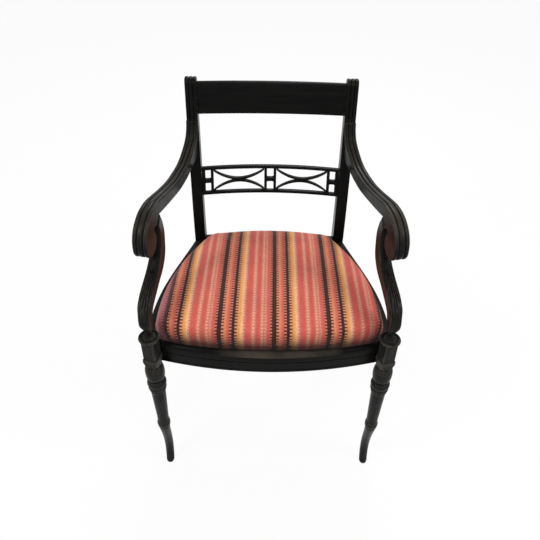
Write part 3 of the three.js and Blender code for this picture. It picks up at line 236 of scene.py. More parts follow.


# The legs' stain has a lighter tone than the back's: painted light, as the legs catch more light.
leg_grain = ebonised_wood("ebonised_wood_legs", (9.0, 9.0, 0.8), 4.2)
leg_x, leg_y = 259.0, -249.0
die_half, die_turn, die_round, block_half, never_square = 14.5, 0.31, 20.15, 16.4, 60.0
toe_z, ankle_z, kick_out, kick_at = 6.0, 165.0, 15.0, 0.4
foot_share = np.linspace(0.0, 1.0, 46)
toe_angle = np.linspace(0.0, np.pi / 2, 7)
toe = np.stack([toe_z * (1 - np.cos(toe_angle)), 7.0 + 3.3 * np.sin(toe_angle)], 1)
foot_reach = 10.3 + 1.7 * foot_share + 1.9 * foot_share ** 6
foot = np.stack([toe_z + (ankle_z - toe_z) * foot_share, foot_reach], 1)
turning = np.concatenate([
    toe, foot[1:],
    drawn_line([(165.3, 14.6), (167.2, 14.7)], 3), drawn_line([(167.5, 13.9), (168.0, 13.9)], 2),
    half_round(168.4, 186.5, 14.0, 16.0, 24),
    drawn_line([(187.0, 13.8), (187.4, 14.5), (189.4, 14.4), (189.8, 13.8)], 8),
    np.stack([190 + 13 * foot_share[::6], 13.7 + 0.2 * foot_share[::6]], 1),
    drawn_line([(203.5, 13.9), (307.5, 17.2)], 24),
    half_round(308.2, 317.0, 17.4, 19.0, 14),
    half_round(317.8, 327.0, 18.0, 21.2, 18),
    half_round(327.8, 346.6, 17.6, 22.3, 34),
    drawn_line([(347.2, 17.2), (347.5, 18.8), (350.0, 18.8), (350.4, 17.2), (352.6, 17.0)], 14),
    half_round(353.0, 397.0, 17.0, 22.3, 84),
])
ring_cut, ring_half = 0.8, 0.75
for ring_z in (389.0, 366.5):
    turning[:, 1] -= ring_cut * np.exp(-(((turning[:, 0] - ring_z) / ring_half) ** 2))
shoulder = drawn_line([(397.3, 17.0), (401.5, 18.3), (406.4, 20.2), (411.0, 21.7), (415.0, 23.0)], 22)
cap = np.concatenate([
    half_round(483.7, 489.9, 20.7, 23.5, 20),
    drawn_line([(490.0, 20.0), (489.8, 18.8), (488.9, 17.3), (488.5, 15.8), (488.9, 14.6), (490.1, 13.7),
                (491.8, 13.2), (492.8, 12.6), (493.0, 11.6), (493.0, 2.0)], 37),
])
panel_low, panel_high, panel_side, panel_line, panel_depth = 434.0, 475.5, 8.6, 1.3, 1.1
die_levels = np.unique(np.concatenate([
    np.linspace(428.4, 483.4, 26),
    [edge + step for edge in (panel_low, panel_high - panel_line) for step in (0.0, 0.15, 0.65, 1.15, 1.3)]]))
leg_rows = np.concatenate([
    with_square(turning, never_square),
    with_square(shoulder, block_half - 0.3),
    [[415.1, 22.9, block_half], [418.0, 22.9, block_half], [420.6, 22.9, block_half],
     [420.8, 22.3, block_half - 0.5], [421.6, 22.3, block_half - 0.5], [421.8, 22.7, block_half - 0.1],
     [424.0, 22.6, block_half - 0.1], [425.2, 22.0, block_half - 0.5], [426.3, 21.0, block_half - 1.2],
     [427.4, 20.3, block_half - 1.7], [428.1, 20.2, die_half]],
    with_square(np.stack([die_levels, np.full(len(die_levels), die_round)], 1), die_half),
    [[483.5, 20.2, die_half], [483.55, 20.7, never_square]],
    with_square(cap, never_square),
])
face_side = np.array([0, 1.7, 3.4, 5.1, 6.6, 7.2, 7.3, 7.45, 7.95, 8.45, 8.6, 8.7, 9.8, 11.0, 12.3, 13.2,
                      13.9])
face_side = np.concatenate([-face_side[:0:-1], face_side])
in_face = np.arctan(np.concatenate([[-die_half], face_side]) / die_half)
column_face = np.repeat(np.arange(4), len(in_face))
from_face = np.tile(in_face, 4)
angle = -np.pi / 2 + die_turn + column_face * np.pi / 2 + from_face
level, round_reach, square_half = (leg_rows[:, k][:, None] for k in range(3))
reach = np.minimum(round_reach, square_half / np.cos(from_face)[None, :])
across_face = np.abs(die_half * np.tan(from_face))[None, :]
in_line = (across_face <= panel_side) & (level >= panel_low) & (level <= panel_high)
in_panel = ((across_face < panel_side - panel_line)
            & (level > panel_low + panel_line) & (level < panel_high - panel_line))
reach = reach - panel_depth * (in_line & ~in_panel & (column_face == 0)[None, :])
rise = np.clip(level / ankle_z, 0.0, 1.0)
kick = kick_out * rise * (1 - rise) ** 1.5 / (kick_at * (1 - kick_at) ** 1.5)
leg_points = np.stack(np.broadcast_arrays(
    leg_x + reach * np.cos(angle), leg_y + reach * np.sin(angle) + kick, level), -1)
# Painted shade on the turned balls and rings below the square: their relief is lowered towards black.
shaded_rings = np.clip((level - 268.0) / 16.0, 0.0, 1.0) * np.clip((382.0 - level) / 8.0, 0.0, 1.0)
pair_of("front_leg_turned", leg_points, leg_grain, "front_leg", crest_radius=0.0038, sharp=42.0,
        wear=(-0.3 * np.broadcast_to(shaded_rings, reach.shape)).ravel())


# Front seat rail. A beech rail sawn to a bow, mitred behind the legs, with its top edge rounded over, a
# rebate worked along the inside for the loose seat, and a sunk line run round a long panel on its face.
def front_face(x):
    """The bow of the rail's face: a parabola over the width, furthest forward in the middle."""
    return leg_y - 15.5 + rail_bow * (x / bow_half) ** 2


across_grain = ebonised_wood("ebonised_wood_across", (0.8, 9.0, 9.0), 1.0)
rail_low, rail_top, ledge, rail_thickness, rail_bow, bow_half = 391.0, 448.0, 436.0, 28.0, 31.5, 243.0
panel_end, groove_low, groove_high, groove, groove_depth = 239.0, 398.0, 424.0, 2.0, 1.5
edge_radius, seat_front_bow, rebate_half = 10.0, 16.5, 200.5
rail_x = np.unique(np.concatenate([
    np.linspace(-262, 262, 89),
    [hand * (panel_end - back) for hand in (-1, 1) for back in (-0.1, 0.1, 1.0, 1.9, 2.1)]]))
round_angle = np.linspace(0.0, np.pi / 2, 12)
edge_line = np.concatenate([
    [[24.0, rail_low], [2.0, rail_low], [0.6, rail_low + 0.5], [0.0, rail_low + 1.8]],
    [[0.0, z] for z in (395.0, 397.9, 398.1, 398.6, 399.4, 399.9, 400.1, 405.0, 411.0, 417.0, 421.9, 422.1,
                        422.6, 423.4, 423.9, 424.1, 428.0, 433.0)],
    np.stack([edge_radius * (1 - np.cos(round_angle)),
              rail_top - edge_radius + edge_radius * np.sin(round_angle)], 1)])
rail_inset = np.broadcast_to(edge_line[:, 0], (len(rail_x), len(edge_line)))
rail_level = np.broadcast_to(edge_line[:, 1], rail_inset.shape)
far = np.abs(rail_x)[:, None]
on_frame = (rail_level >= groove_low) & (rail_level <= groove_high) & (far <= panel_end)
on_panel = ((rail_level > groove_low + groove) & (rail_level < groove_high - groove)
            & (far < panel_end - groove))
rail_inset = rail_inset + groove_depth * (on_frame & ~on_panel)
seat_front = leg_y + seat_front_bow * np.minimum(rail_x / rebate_half, 1.25) ** 2
rebate = np.clip(seat_front - front_face(rail_x), 11.0, 20.0)[:, None]
rebate_inset = np.concatenate([rebate - 0.8, rebate, rebate, np.full_like(rebate, rail_thickness - 0.1)], 1)
rebate_level = np.broadcast_to(np.array([rail_top, rail_top - 0.8, ledge, ledge]), rebate_inset.shape)
rail_inset = np.concatenate([rail_inset, rebate_inset, np.full_like(rebate, rail_thickness)], 1)
rail_level = np.concatenate([rail_level, rebate_level, np.full_like(rebate, rail_low + 0.3)], 1)
slope = 2 * rail_bow * rail_x / bow_half ** 2
lean = np.hypot(slope, 1.0)
front_rail = np.stack([
    rail_x[:, None] - rail_inset * (slope / lean)[:, None],
    front_face(rail_x)[:, None] + rail_inset / lean[:, None], rail_level], -1)
# Painted highlight along the middle of the rounded top edge, and painted shade, near black, in the sunk line
# round the panel.
highlight_x, highlight_half = 18.0, 150.0
highlight_middle = 1 - np.clip(np.abs(rail_x[:, None] - highlight_x) / highlight_half, 0.0, 1.0) ** 2
on_edge = (rail_level > rail_top - edge_radius + 0.5) * (rail_inset < edge_radius + 0.1)
edge_wear = 0.9 * highlight_middle * on_edge
in_groove = np.zeros(rail_inset.shape)
in_groove[:, :len(edge_line)] = on_frame & ~on_panel
wooden_piece("front_seat_rail_moulded", front_rail, across_grain, ["front_seat_rail"],
             wear=(edge_wear - 0.9 * in_groove).ravel())


# Side seat rails. Each is a beech rail sawn to swell out from the back post to the front leg, with the
# same rebate inside and only its arris softened; it is tenoned into the post and mitred to the front rail
# behind the leg.
def pulled_curve(controls, count):
    """A curve from the first point to the last, pulled by those between: each is weighted by a power of the
    way along, by a power of the way left, and by how often the two together occur."""
    t = np.linspace(0.0, 1.0, count)[:, None]
    c = np.asarray(controls, float)
    if len(c) == 3:
        return (1 - t) ** 2 * c[0] + 2 * t * (1 - t) * c[1] + t ** 2 * c[2]
    return (1 - t) ** 3 * c[0] + 3 * t * (1 - t) ** 2 * c[1] + 3 * t ** 2 * (1 - t) * c[2] + t ** 3 * c[3]


seat_depth, seat_widest, seat_back_half, seat_front_half = 401.0, 257.0, 168.0, 200.46


def on_seat(pairs, inner, outer):
    """Shares of the way out from one x to another, and of the seat's depth, as x and y."""
    return np.array([[inner + (outer - inner) * x, leg_y + seat_depth * y] for x, y in pairs])


def seat_edge(inset, fineness=1):
    """The plan of the loose seat: a bowed front, rounded corners, sides drawn in to the back and a slightly
    bowed back, run round from the front middle and moved inwards by the inset along its own normals."""
    front_x = np.linspace(0.0, seat_front_half, 5 * fineness)
    front = np.stack([front_x, leg_y + seat_front_bow * (front_x / seat_front_half) ** 2], 1)
    corner_reach = on_seat([(1, 0.062), (1, 0.15)], 0.0, seat_widest)
    corner = pulled_curve(np.concatenate([front[-1:], corner_reach]), 6 * fineness)
    side_reach = on_seat([(1, 0.15), (1.011, 0.396), (0.764, 0.619), (0, 0.906)], seat_back_half, seat_widest)
    side = pulled_curve(side_reach, 9 * fineness)
    back_reach = on_seat([(1, 0.906), (0.922, 0.963), (0.742, 0.9666)], 0.0, seat_back_half)
    back_corner = pulled_curve(back_reach, 4 * fineness)
    back = on_seat([(0.742, 0.9666), (0.55, 0.981), (0.275, 0.995), (0, 1)], 0.0, seat_back_half)
    half = np.concatenate([front, corner[1:], side[1:], back_corner[1:], drawn_line(back, 4 * fineness)[1:]])
    ring = np.concatenate([half, half[-2:0:-1] * (-1, 1)])
    run = np.roll(ring, -1, 0) - np.roll(ring, 1, 0)
    run /= np.hypot(run[:, 0], run[:, 1])[:, None]
    return ring + inset * np.stack([-run[:, 1], run[:, 0]], 1)


# The lighter tone of this stain, on the arms and side rails, is painted light.
along_grain = ebonised_wood("ebonised_wood_along", (9.0, 0.8, 9.0), 2.6, cheek_from=-0.03)
upright_grain = ebonised_wood("ebonised_wood_upright", (9.0, 9.0, 0.8), 1.0)
post_face, side_back_x, side_swell, side_run = 136.0, 198, 76.5, 370.5
outward = np.array([(0, 0), (0.53, 0.35), (1.09, 0.55), (1, 1)])
side_path = pulled_curve(
    np.stack([side_back_x + side_swell * outward[:, 0], post_face - side_run * outward[:, 1]], 1), 60)
side_path = np.concatenate([side_path, [[side_back_x + side_swell, y] for y in (-240.0, -247.0)]])
run = np.gradient(side_path, axis=0)
run /= np.hypot(run[:, 0], run[:, 1])[:, None]
inward = np.stack([run[:, 1], -run[:, 0]], 1)
inward *= np.sign(-inward[:, :1])
seat_ring = seat_edge(0.0, 4)
to_seat = np.sqrt(((side_path[:, None] - seat_ring[None]) ** 2).sum(-1)).min(1)
to_seat = np.clip(to_seat, 3.0, 26.0)[:, None]
ones = np.ones_like(to_seat)
side_inset = np.concatenate([
    rail_thickness * ones, 1.2 * ones, 0 * ones, 0 * ones, 0.4 * ones, 1.4 * ones,
    to_seat - 0.8, to_seat, to_seat, np.maximum(to_seat + 0.5, rail_thickness)], 1)
side_level = np.broadcast_to(np.array([
    rail_low, rail_low, rail_low + 1.2, rail_top - 1.4, rail_top - 0.4, rail_top, rail_top, rail_top - 0.8,
    ledge, ledge]), side_inset.shape)
side_plan = side_path[:, None] + side_inset[..., None] * inward[:, None]
side_rail = np.concatenate([side_plan, side_level[..., None]], -1)
pair_of("side_seat_rail_moulded", side_rail, along_grain, "side_seat_rail")


# Back seat rail. A beech rail sawn to bow back a little between the posts, which it is tenoned into, with
# the rebate for the loose seat along its front.
post_inner_low, glue_gap = 170.5, 0.3
back_x = np.linspace(glue_gap - post_inner_low, post_inner_low - glue_gap, 41)[:, None]
bow = 1 - (back_x / post_inner_low) ** 2
back_section = np.array([(1, rail_low), (0, rail_low), (0, ledge), (0.5, ledge), (0.5, rail_top - 1),
                         (0.54, rail_top), (0.95, rail_top), (1, rail_top - 1.5)])
front_y, rear_y = 137.0 + 6 * bow, 163.0 + 10 * bow
back_rail = np.stack(np.broadcast_arrays(
    back_x, front_y + (rear_y - front_y) * back_section[:, 0], back_section[:, 1]), -1)
wooden_piece("back_seat_rail_bowed", back_rail, across_grain, ["back_seat_rail"])


# Back posts. Each is sawn from one beech board with its sabre leg: it runs out to the floor behind, leans
# out and back above the seat, and ends in a block worked with three reeds and rounded over the top.
post_rise, post_width, sabre_reach, rake, lean_out = 407.0, 27.5, 111.5, 102.0, 9.0
arm_seat_low, block_low, round_low, block_proud, round_rise = 681.0, 762.0, 843.0, 5.0, 12


def post_sweep(z):
    """The front of the post without its flat: back by a power of the height below the seat, straight at the
    rails, and back again by a power of the height above them."""
    below, above = np.maximum(rail_low - z, 0) / rail_low, np.maximum(z - rail_top, 0) / post_rise
    return np.where(z <= rail_low, post_face + sabre_reach * below ** 1.8, post_face + rake * above ** 1.25)


def post_front(z):
    """The front of the post: its sweep, and a straight line across it where the arm is seated."""
    z = np.asarray(z, float)
    low, high = post_sweep(np.array(arm_seat_low)), post_sweep(np.array(block_low))
    flat = low + (high - low) * (z - arm_seat_low) / (block_low - arm_seat_low)
    return np.where((z > arm_seat_low) & (z < block_low), flat, post_sweep(z))


def post_depth(z):
    """The post from front to back: growing by a power of the height up to the seat, and tapering above."""
    z = np.asarray(z, float)
    at_foot, at_seat, at_top = 25, 38, 26
    return np.where(z <= rail_low, at_foot + (at_seat - at_foot) * np.minimum(z / rail_low, 1) ** 1.3,
                    at_seat - (at_seat - at_top) * np.clip((z - rail_top) / post_rise, 0, 1))


def post_inner(z):
    """The inner face of the post: upright to the seat and leaning out evenly above it."""
    return post_inner_low + lean_out * np.maximum(np.asarray(z, float) - rail_top, 0) / post_rise


reed_depth, reed_edge_depth = 2.2, 1.6


def reed_section(valley, depth, edge, count=9):
    """Shares of the thickness and depths of three reeds side by side: each falls away by a power of the way
    from its middle, and runs down into the valleys and the outer arrises."""
    t = np.linspace(-1.0, 1.0, count)
    fall = np.abs(t) ** 3.4
    outer = np.where(t < 0, edge, depth) * fall
    valley, way = np.asarray(valley, float)[..., None], (t + 1) / 2
    shares = [valley * way, (valley + (1 - 2 * valley) * way)[..., 1:], (1 - valley + valley * way)[..., 1:]]
    return np.concatenate(shares, -1), np.concatenate([outer, (depth * fall)[1:], outer[::-1][1:]])


def sawn_board(outline, place, shares, depths, spacing):
    """A board sawn to an outline. Its edge is a grid, the outline by shares of the thickness, set in along
    the outline's normals by the depths; its cheeks are triangles over the outline and a lattice of points
    inside it, this far apart; place lifts both into the chair. The last array says how far each point lies
    on a cheek: 1 within it, and a part of that along its edge."""
    run = np.roll(outline, -1, 0) - np.roll(outline, 1, 0)
    run /= np.maximum(np.hypot(run[:, 0], run[:, 1]), 1e-9)[:, None]
    area = np.sum(outline[:, 0] * np.roll(outline[:, 1], -1) - np.roll(outline[:, 0], -1) * outline[:, 1])
    inwards = np.stack([-run[:, 1], run[:, 0]], 1) * np.sign(area)
    flat = outline[None] + inwards[None] * depths.T[..., None]
    points = place(flat[..., 0], flat[..., 1], np.broadcast_to(shares, depths.shape).T)
    count, offset = len(outline), depths.size
    faces, all_points = woven_grid(len(points), count, closed=False), [points.reshape(-1, 3)]
    cheeks = [np.zeros(offset)]
    cheeks[0][:count] = cheeks[0][-count:] = 0.6
    for ring, share in ((0, 0.0), (points.shape[0] - 1, 1.0)):
        border = flat[ring]
        low, high = border.min(0), border.max(0)
        mesh_y, mesh_z = np.meshgrid(np.arange(low[0], high[0], spacing), np.arange(low[1], high[1], spacing))
        inner = np.stack([mesh_y.ravel(), mesh_z.ravel()], 1)
        a, b = border, np.roll(border, -1, 0)
        rises = (a[:, 1] > inner[:, 1:]) != (b[:, 1] > inner[:, 1:])
        level_gap = np.where(np.abs(b[:, 1] - a[:, 1]) < 1e-9, 1e-9, b[:, 1] - a[:, 1])
        crossing = a[:, 0] + (inner[:, 1:] - a[:, 1]) / level_gap * (b[:, 0] - a[:, 0])
        inside = (rises & (inner[:, :1] < crossing)).sum(1) % 2 == 1
        clear = np.sqrt(((inner[:, None] - border[None]) ** 2).sum(-1)).min(1) > spacing * 0.45
        inner = inner[inside & clear]
        both = [Vector(p) for p in np.concatenate([border, inner])]
        loop = [(i, (i + 1) % count) for i in range(count)]
        spots, _, triangles, sources, _, _ = geometry.delaunay_2d_cdt(both, loop, [], 1, 1e-5)
        place_of = np.array([
            source[0] if source else int(np.argmin(((border - np.array(spot)) ** 2).sum(1)))
            for source, spot in zip(sources, spots)])
        own = np.where(place_of < count, ring * count + place_of, offset + place_of - count)
        corners = [[int(own[i]) for i in triangle] for triangle in triangles]
        faces += [triangle for triangle in corners if len(set(triangle)) == 3]
        all_points.append(place(inner[:, 0], inner[:, 1], np.full(len(inner), share)))
        cheeks.append(np.ones(len(inner)))
        offset += len(inner)
    return np.concatenate(all_points), faces, np.concatenate(cheeks)


post_levels = np.concatenate([np.linspace(0, rail_low, 40), [rail_top], np.linspace(460, 761.9, 36)])
block_levels = np.linspace(block_low, round_low, 12)
over_angle = np.linspace(0.0, np.pi, 20)[1:-1]
round_front = float(post_front(round_low)) - block_proud
round_depth = float(post_depth(round_low)) + block_proud
post_outline = np.concatenate([
    np.stack([post_front(post_levels), post_levels], 1),
    np.stack([post_front(block_levels) - block_proud, block_levels], 1),
    np.stack([round_front + round_depth * (1 - np.cos(over_angle)) / 2,
              round_low + round_rise * np.sin(over_angle)], 1),
    np.stack([post_front(block_levels) + post_depth(block_levels), block_levels], 1)[::-1],
    np.stack([post_front(post_levels) + post_depth(post_levels), post_levels], 1)[::-1]])
on_block = np.arange(len(post_outline)) < len(post_levels) + len(block_levels) + len(over_angle)
reeded = ((post_outline[:, 1] >= block_low) & on_block).astype(float)[:, None]


def place_post(y, z, share):
    """A point of the post: the share of its width out from the leaning inner face."""
    return np.stack(np.broadcast_arrays(post_inner(z) + post_width * share, y, z), -1)


post_shares, post_depths = reed_section(1 / 3, reed_depth, reed_edge_depth)
post_arris = 0.9
from_edge = np.minimum(post_shares, 1 - post_shares) * post_width
plain_depth = post_arris * np.clip(1 - from_edge / post_arris, 0, 1)
post_points, post_faces, _ = sawn_board(
    post_outline, place_post, post_shares, reeded * post_depths + (1 - reeded) * plain_depth, 5.0)
pair_of("back_post_sawn", post_points, upright_grain, "back_post", faces=post_faces, crest_radius=0.0022)


# Crest rail. A plain beech tablet sawn to a bow and tenoned between the posts, its top edge planed and
# scraped to roll over backwards.
def bowed(section, setback, bow, steps):
    """A section of depths and heights carried from post to post: it follows the posts' front and bows back
    from them by a parabola across the chair."""
    depth, z = np.asarray(section, float).T
    share = np.linspace(-1.0, 1.0, steps)[:, None]
    x = share * (post_inner(z) - glue_gap)
    return np.stack(np.broadcast_arrays(x, post_front(z) + setback + bow * (1 - share ** 2) + depth, z), -1)


def rounded_loop(corners, radius, steps=3):
    """A closed outline with each corner replaced by points of a curve, pulled by the corner, from a radius
    before it to a radius after it."""
    corners = np.asarray(corners, float)
    rounded = []
    for before, corner, after in zip(np.roll(corners, 1, 0), corners, np.roll(corners, -1, 0)):
        start = corner + (before - corner) * min(radius / np.linalg.norm(before - corner), 0.5)
        end = corner + (after - corner) * min(radius / np.linalg.norm(after - corner), 0.5)
        rounded.append(pulled_curve([start, corner, end], steps))
    return np.concatenate(rounded)


def flowing(points, count):
    """A smooth curve through the points: each stretch is a cubic between two of them, and sets out from each
    along half the line between the ones beside it."""
    points = np.asarray(points, float)
    padded = np.concatenate([points[:1], points, points[-1:]])
    share = np.linspace(0.0, len(points) - 1.0, count)
    at = np.minimum(share.astype(int), len(points) - 2)
    t = (share - at)[:, None]
    p0, p1, p2, p3 = (padded[at + k] for k in range(4))
    v0, v1 = (p2 - p0) / 2, (p3 - p1) / 2
    return ((2 * p1 - 2 * p2 + v0 + v1) * t ** 3 + (-3 * p1 + 3 * p2 - 2 * v0 - v1) * t ** 2 + v0 * t + p1)


crest_roll = flowing([(0, 0.7), (0.12, 0.84), (0.36, 0.94), (0.6, 0.985), (0.82, 1), (0.97, 0.955), (1, 0.89),
                      (0.93, 0.82), (0.84, 0.75)], 34)
crest_line = np.concatenate([[(0.05, 0.0), (0.0, 0.012)], drawn_line([(0, 0.05), (0, 0.66)], 8), crest_roll,
                             drawn_line([(0.82, 0.7), (0.82, 0.02)], 6), [(0.78, 0.0)]])
crest_low, crest_height, crest_thickness, crest_setback, crest_bow, across_steps = 774, 67, 22, 3, 7, 49
crest_section = np.stack([crest_thickness * crest_line[:, 0], crest_low + crest_height * crest_line[:, 1]], 1)
wooden_piece("crest_rail_rolled", bowed(crest_section, crest_setback, crest_bow, across_steps), across_grain,
             ["crest_rail"], crest_radius=0.0026)


# Fret rail. Two thin bowed beech bars tenoned into the posts, with uprights and small waisted spacers glued
# between them, and two pairs of crescents that spring from the corners and all but touch in the middle.
top_bar_z, bottom_bar_z, bar_height, bar_depth, fret_mid = 637.0, 574.0, 7.0, 10.0, 609.0
fret_setback, fret_bow, fret_crest = 5, 15, 0.0011
for name, low in (("fret_top_bar", top_bar_z), ("fret_bottom_bar", bottom_bar_z)):
    high = low + bar_height
    bar = rounded_loop([(0, low), (0, high), (bar_depth, high), (bar_depth, low)], 1.6, 4)
    wooden_piece(f"{name}_bowed", bowed(bar, fret_setback, fret_bow, across_steps), across_grain, [name],
                 crest_radius=fret_crest)


def in_fret(x, depth, z):
    """A point of the fret: it bows back with the bars and leans with the posts."""
    x, depth, z = np.broadcast_arrays(np.asarray(x, float), depth, z)
    bowed_back = fret_bow * (1 - (x / (post_inner(z) - glue_gap)) ** 2)
    return np.stack([x, post_front(z) + fret_setback + bowed_back + depth, z], -1)


end_width, upright_width, end_gap, centre_half = 8.3, 7.0, 13.8, 8.4
end_x = float(post_inner(fret_mid)) - glue_gap - end_width
outer_x = end_x - end_gap - upright_width
for name, low_x, width in (("fret_end_upright", end_x, end_width),
                           ("fret_outer_upright", outer_x, upright_width),
                           ("fret_inner_upright", centre_half, upright_width)):
    high_x = low_x + width
    across = rounded_loop([(low_x, 0), (high_x, 0), (high_x, bar_depth), (low_x, bar_depth)], 1.3, 4)
    heights = np.linspace(bottom_bar_z + bar_height + 0.2, top_bar_z - 0.2, 9)[:, None]
    pair_of(f"{name}_sawn", in_fret(across[:, 0], across[:, 1], heights), upright_grain, name,
            crest_radius=fret_crest)


def spacer(low_x, high_x):
    """A block between two uprights, coved above and below: its half height dips by a power of the way to
    the middle, where a small bead stands round it."""
    share = np.linspace(0.0, 1.0, 21)[:, None]
    height, waist, flare, bead, bead_half = 11, 0.34, 0.16, 0.9, 0.12
    coved = height * (waist + flare * np.abs(2 * share - 1) ** 2.2)
    half = coved + bead * np.exp(-(((share - 0.5) / bead_half) ** 2))
    loop = rounded_loop([(-1, 0), (1, 0), (1, bar_depth), (-1, bar_depth)], 0.35, 4)
    return in_fret(low_x + (high_x - low_x) * share, loop[:, 1], fret_mid + half * loop[:, 0])


pair_of("fret_end_spacer_coved", spacer(outer_x + upright_width, end_x), upright_grain, "fret_end_spacer",
        crest_radius=fret_crest)
wooden_piece("fret_centre_spacer_coved", spacer(-centre_half, centre_half), upright_grain,
             ["fret_centre_spacer"], crest_radius=fret_crest)
crescent_start, crescent_end = centre_half + upright_width + glue_gap, outer_x - glue_gap
inner_ends, inner_middle, outer_ends, outer_middle = 24.7, 0.15, 27.7, 5.15
for name, way in (("fret_upper_crescent", 1.0), ("fret_lower_crescent", -1.0)):
    share = np.linspace(0.0, 1.0, 57)[:, None]
    fall = np.sin(share * np.pi) ** 0.8
    inner = inner_ends + (inner_middle - inner_ends) * fall
    outer = outer_ends + (outer_middle - outer_ends) * fall
    loop = rounded_loop([(0, 1), (1, 1), (1, 9), (0, 9)], 0.28, 3)
    points = in_fret(crescent_start + (crescent_end - crescent_start) * share, loop[:, 1],
                     fret_mid + way * (inner + (outer - inner) * loop[:, 0]))
    pair_of(f"{name}_sawn", points, across_grain, name, crest_radius=fret_crest)


# Arms. Each is sawn from one beech board: swept down from under the post's block, out over the seat, and
# curled into a scroll with a slot behind it. Three reeds run down its top and round the scroll; it is
# dowelled to the face of the post.
arm_root, arm_reach, arm_low, arm_drop = 209.75, 376.75, 618.0, 144.0
arm_root_x, arm_front_x, arm_thickness, arm_growth = float(post_inner(block_low)), 256.0, 28.0, 3.5
arm_slope = (arm_front_x - arm_root_x) / arm_reach
scroll_radius = 28.5
scroll_centre = np.array([arm_root - arm_reach + scroll_radius, arm_low + 1.21 * scroll_radius])


def on_arm(pairs):
    """Shares of the way forward along the arm and of its drop, as y and z."""
    return np.array([(arm_root - arm_reach * along, arm_low + arm_drop * up) for along, up in pairs])


def from_scroll(pairs):
    """Radii back of the scroll's centre and above it, as y and z."""
    return scroll_centre + scroll_radius * np.array(pairs)


def ease(value, low, high):
    """The smooth step from 0 at low to 1 at high: three squares less two cubes of the share of the way."""
    share = np.clip((np.asarray(value, float) - low) / (high - low), 0.0, 1.0)
    return share * share * (3 - 2 * share)


def place_arm(y, z, share):
    """A point of the arm: the board stands upright, square to the post at its root and turned along its own
    line within the sweep, and grows a little thicker towards the scroll."""
    along = np.clip((arm_root - y) / arm_reach, 0.0, 1.0)
    turn = arm_slope * ease(along, 0.0, 0.3)
    step = (arm_thickness + arm_growth * along) * share / np.hypot(turn, 1.0)
    return np.stack([arm_root_x + arm_slope * (arm_root - y) + step, y + step * turn, z], -1)


head_front, head_back = from_scroll([(1.36, 0.68), (1.99, 1.35)])
arm_seat_top = 761.4
arm_top = flowing(on_arm([
    (5 / arm_reach, 1.05), (0.022, 0.9), (0.0465, 0.764), (0.0863, 0.674), (0.1368, 0.604), (0.198, 0.541),
    (0.28, 0.503), (0.426, 0.507), (0.559, 0.569), (0.673, 0.646), (0.758, 0.698), (0.825, 0.706),
    (0.878, 0.684), (0.9256, 0.625), (0.9655, 0.535), (0.9907, 0.41), (0.999, 0.3)]), 190)
arm_top = arm_top[arm_top[:, 1] < arm_seat_top - 0.4]
arm_top = np.concatenate([[[arm_top[0, 0] + 0.05, arm_seat_top]], arm_top])
scroll_count = 64
scroll_angle = np.pi + (np.pi + 0.75) * (np.arange(scroll_count) + 0.5) / (scroll_count - 0.5)
scroll = from_scroll(np.stack([np.cos(scroll_angle), np.sin(scroll_angle)], 1))
slot = flowing(from_scroll([(0.74, 0.83), (0.89, 0.935), (1.16, 0.91), (1.36, 0.68)]), 22)
under = flowing(np.concatenate([[head_back], on_arm([
    (0.6786, 0.451), (0.5857, 0.403), (0.4236, 0.33), (0.3094, 0.322), (0.2457, 0.333), (0.158, 0.363),
    (0.0863, 0.41), (0.0438, 0.47), (-0.02, 0.6)])]), 120)
under = under[under[:, 0] < post_front(under[:, 1]) - glue_gap]
joint_z = np.linspace(under[-1, 1] + 2.5, arm_seat_top, 24)
joint = np.stack([post_front(joint_z) - glue_gap, joint_z], 1)
arm_outline = np.concatenate([arm_top, scroll, slot, under, joint])
reeds_end, reeds_fade = 42, 14
arm_worked = np.concatenate([
    np.ones(len(arm_top)), np.clip((reeds_end - np.arange(scroll_count)) / reeds_fade, 0, 1),
    np.zeros(len(slot) + len(under) + len(joint))])[:, None]
arm_share = np.clip((arm_root - arm_outline[:, 0]) / arm_reach, 0.0, 1.0)
back_valley, front_valley, arm_arris, mean_thickness = 1 / 3, 0.27, 0.8, 30
arm_valley = back_valley + (front_valley - back_valley) * arm_share
arm_shares, arm_depths = reed_section(arm_valley, reed_depth, reed_edge_depth)
from_edge = np.minimum(arm_shares, 1 - arm_shares) * mean_thickness
meets_post = np.arange(len(arm_outline)) >= len(arm_outline) - len(joint)
plain_edge = np.where(meets_post[:, None], 0.0, arm_arris * np.clip(1 - from_edge / arm_arris, 0, 1))
arm_points, arm_faces, arm_cheeks = sawn_board(
    arm_outline, place_arm, arm_shares, arm_worked * arm_depths + (1 - arm_worked) * plain_edge, 4.0)


def edge_wear_of(points, wear):
    """Painted light for the grid of a sawn board's edge, and none on its cheeks, in the order of its points.
    """
    return np.concatenate([wear.T.ravel(), np.zeros(len(points) - wear.size)])


# Painted highlights along the crests of the reeds down the arm, and painted shade, towards black, on the
# reeds low on the front of the scroll.
on_reeds = np.clip(1 - arm_depths / 0.5, 0.0, 1.0) * arm_worked * ease(arm_share, 0.02, 0.1)[:, None]
low_front = (1 - ease(arm_outline[:, 1], 640.0, 712.0)) * (arm_outline[:, 0] < scroll_centre[0])
shaded_scroll = arm_worked * low_front[:, None]
rubbed_cheeks = arm_cheeks * (1 - ease(arm_points[:, 2], 654.0, 680.0))
pair_of("arm_scrolled", arm_points, along_grain, "arm", faces=arm_faces, crest_radius=0.0035,
        cheeks=rubbed_cheeks, wear=edge_wear_of(arm_points, 0.3 * on_reeds * (1 - shaded_scroll) - 0.34 * shaded_scroll))


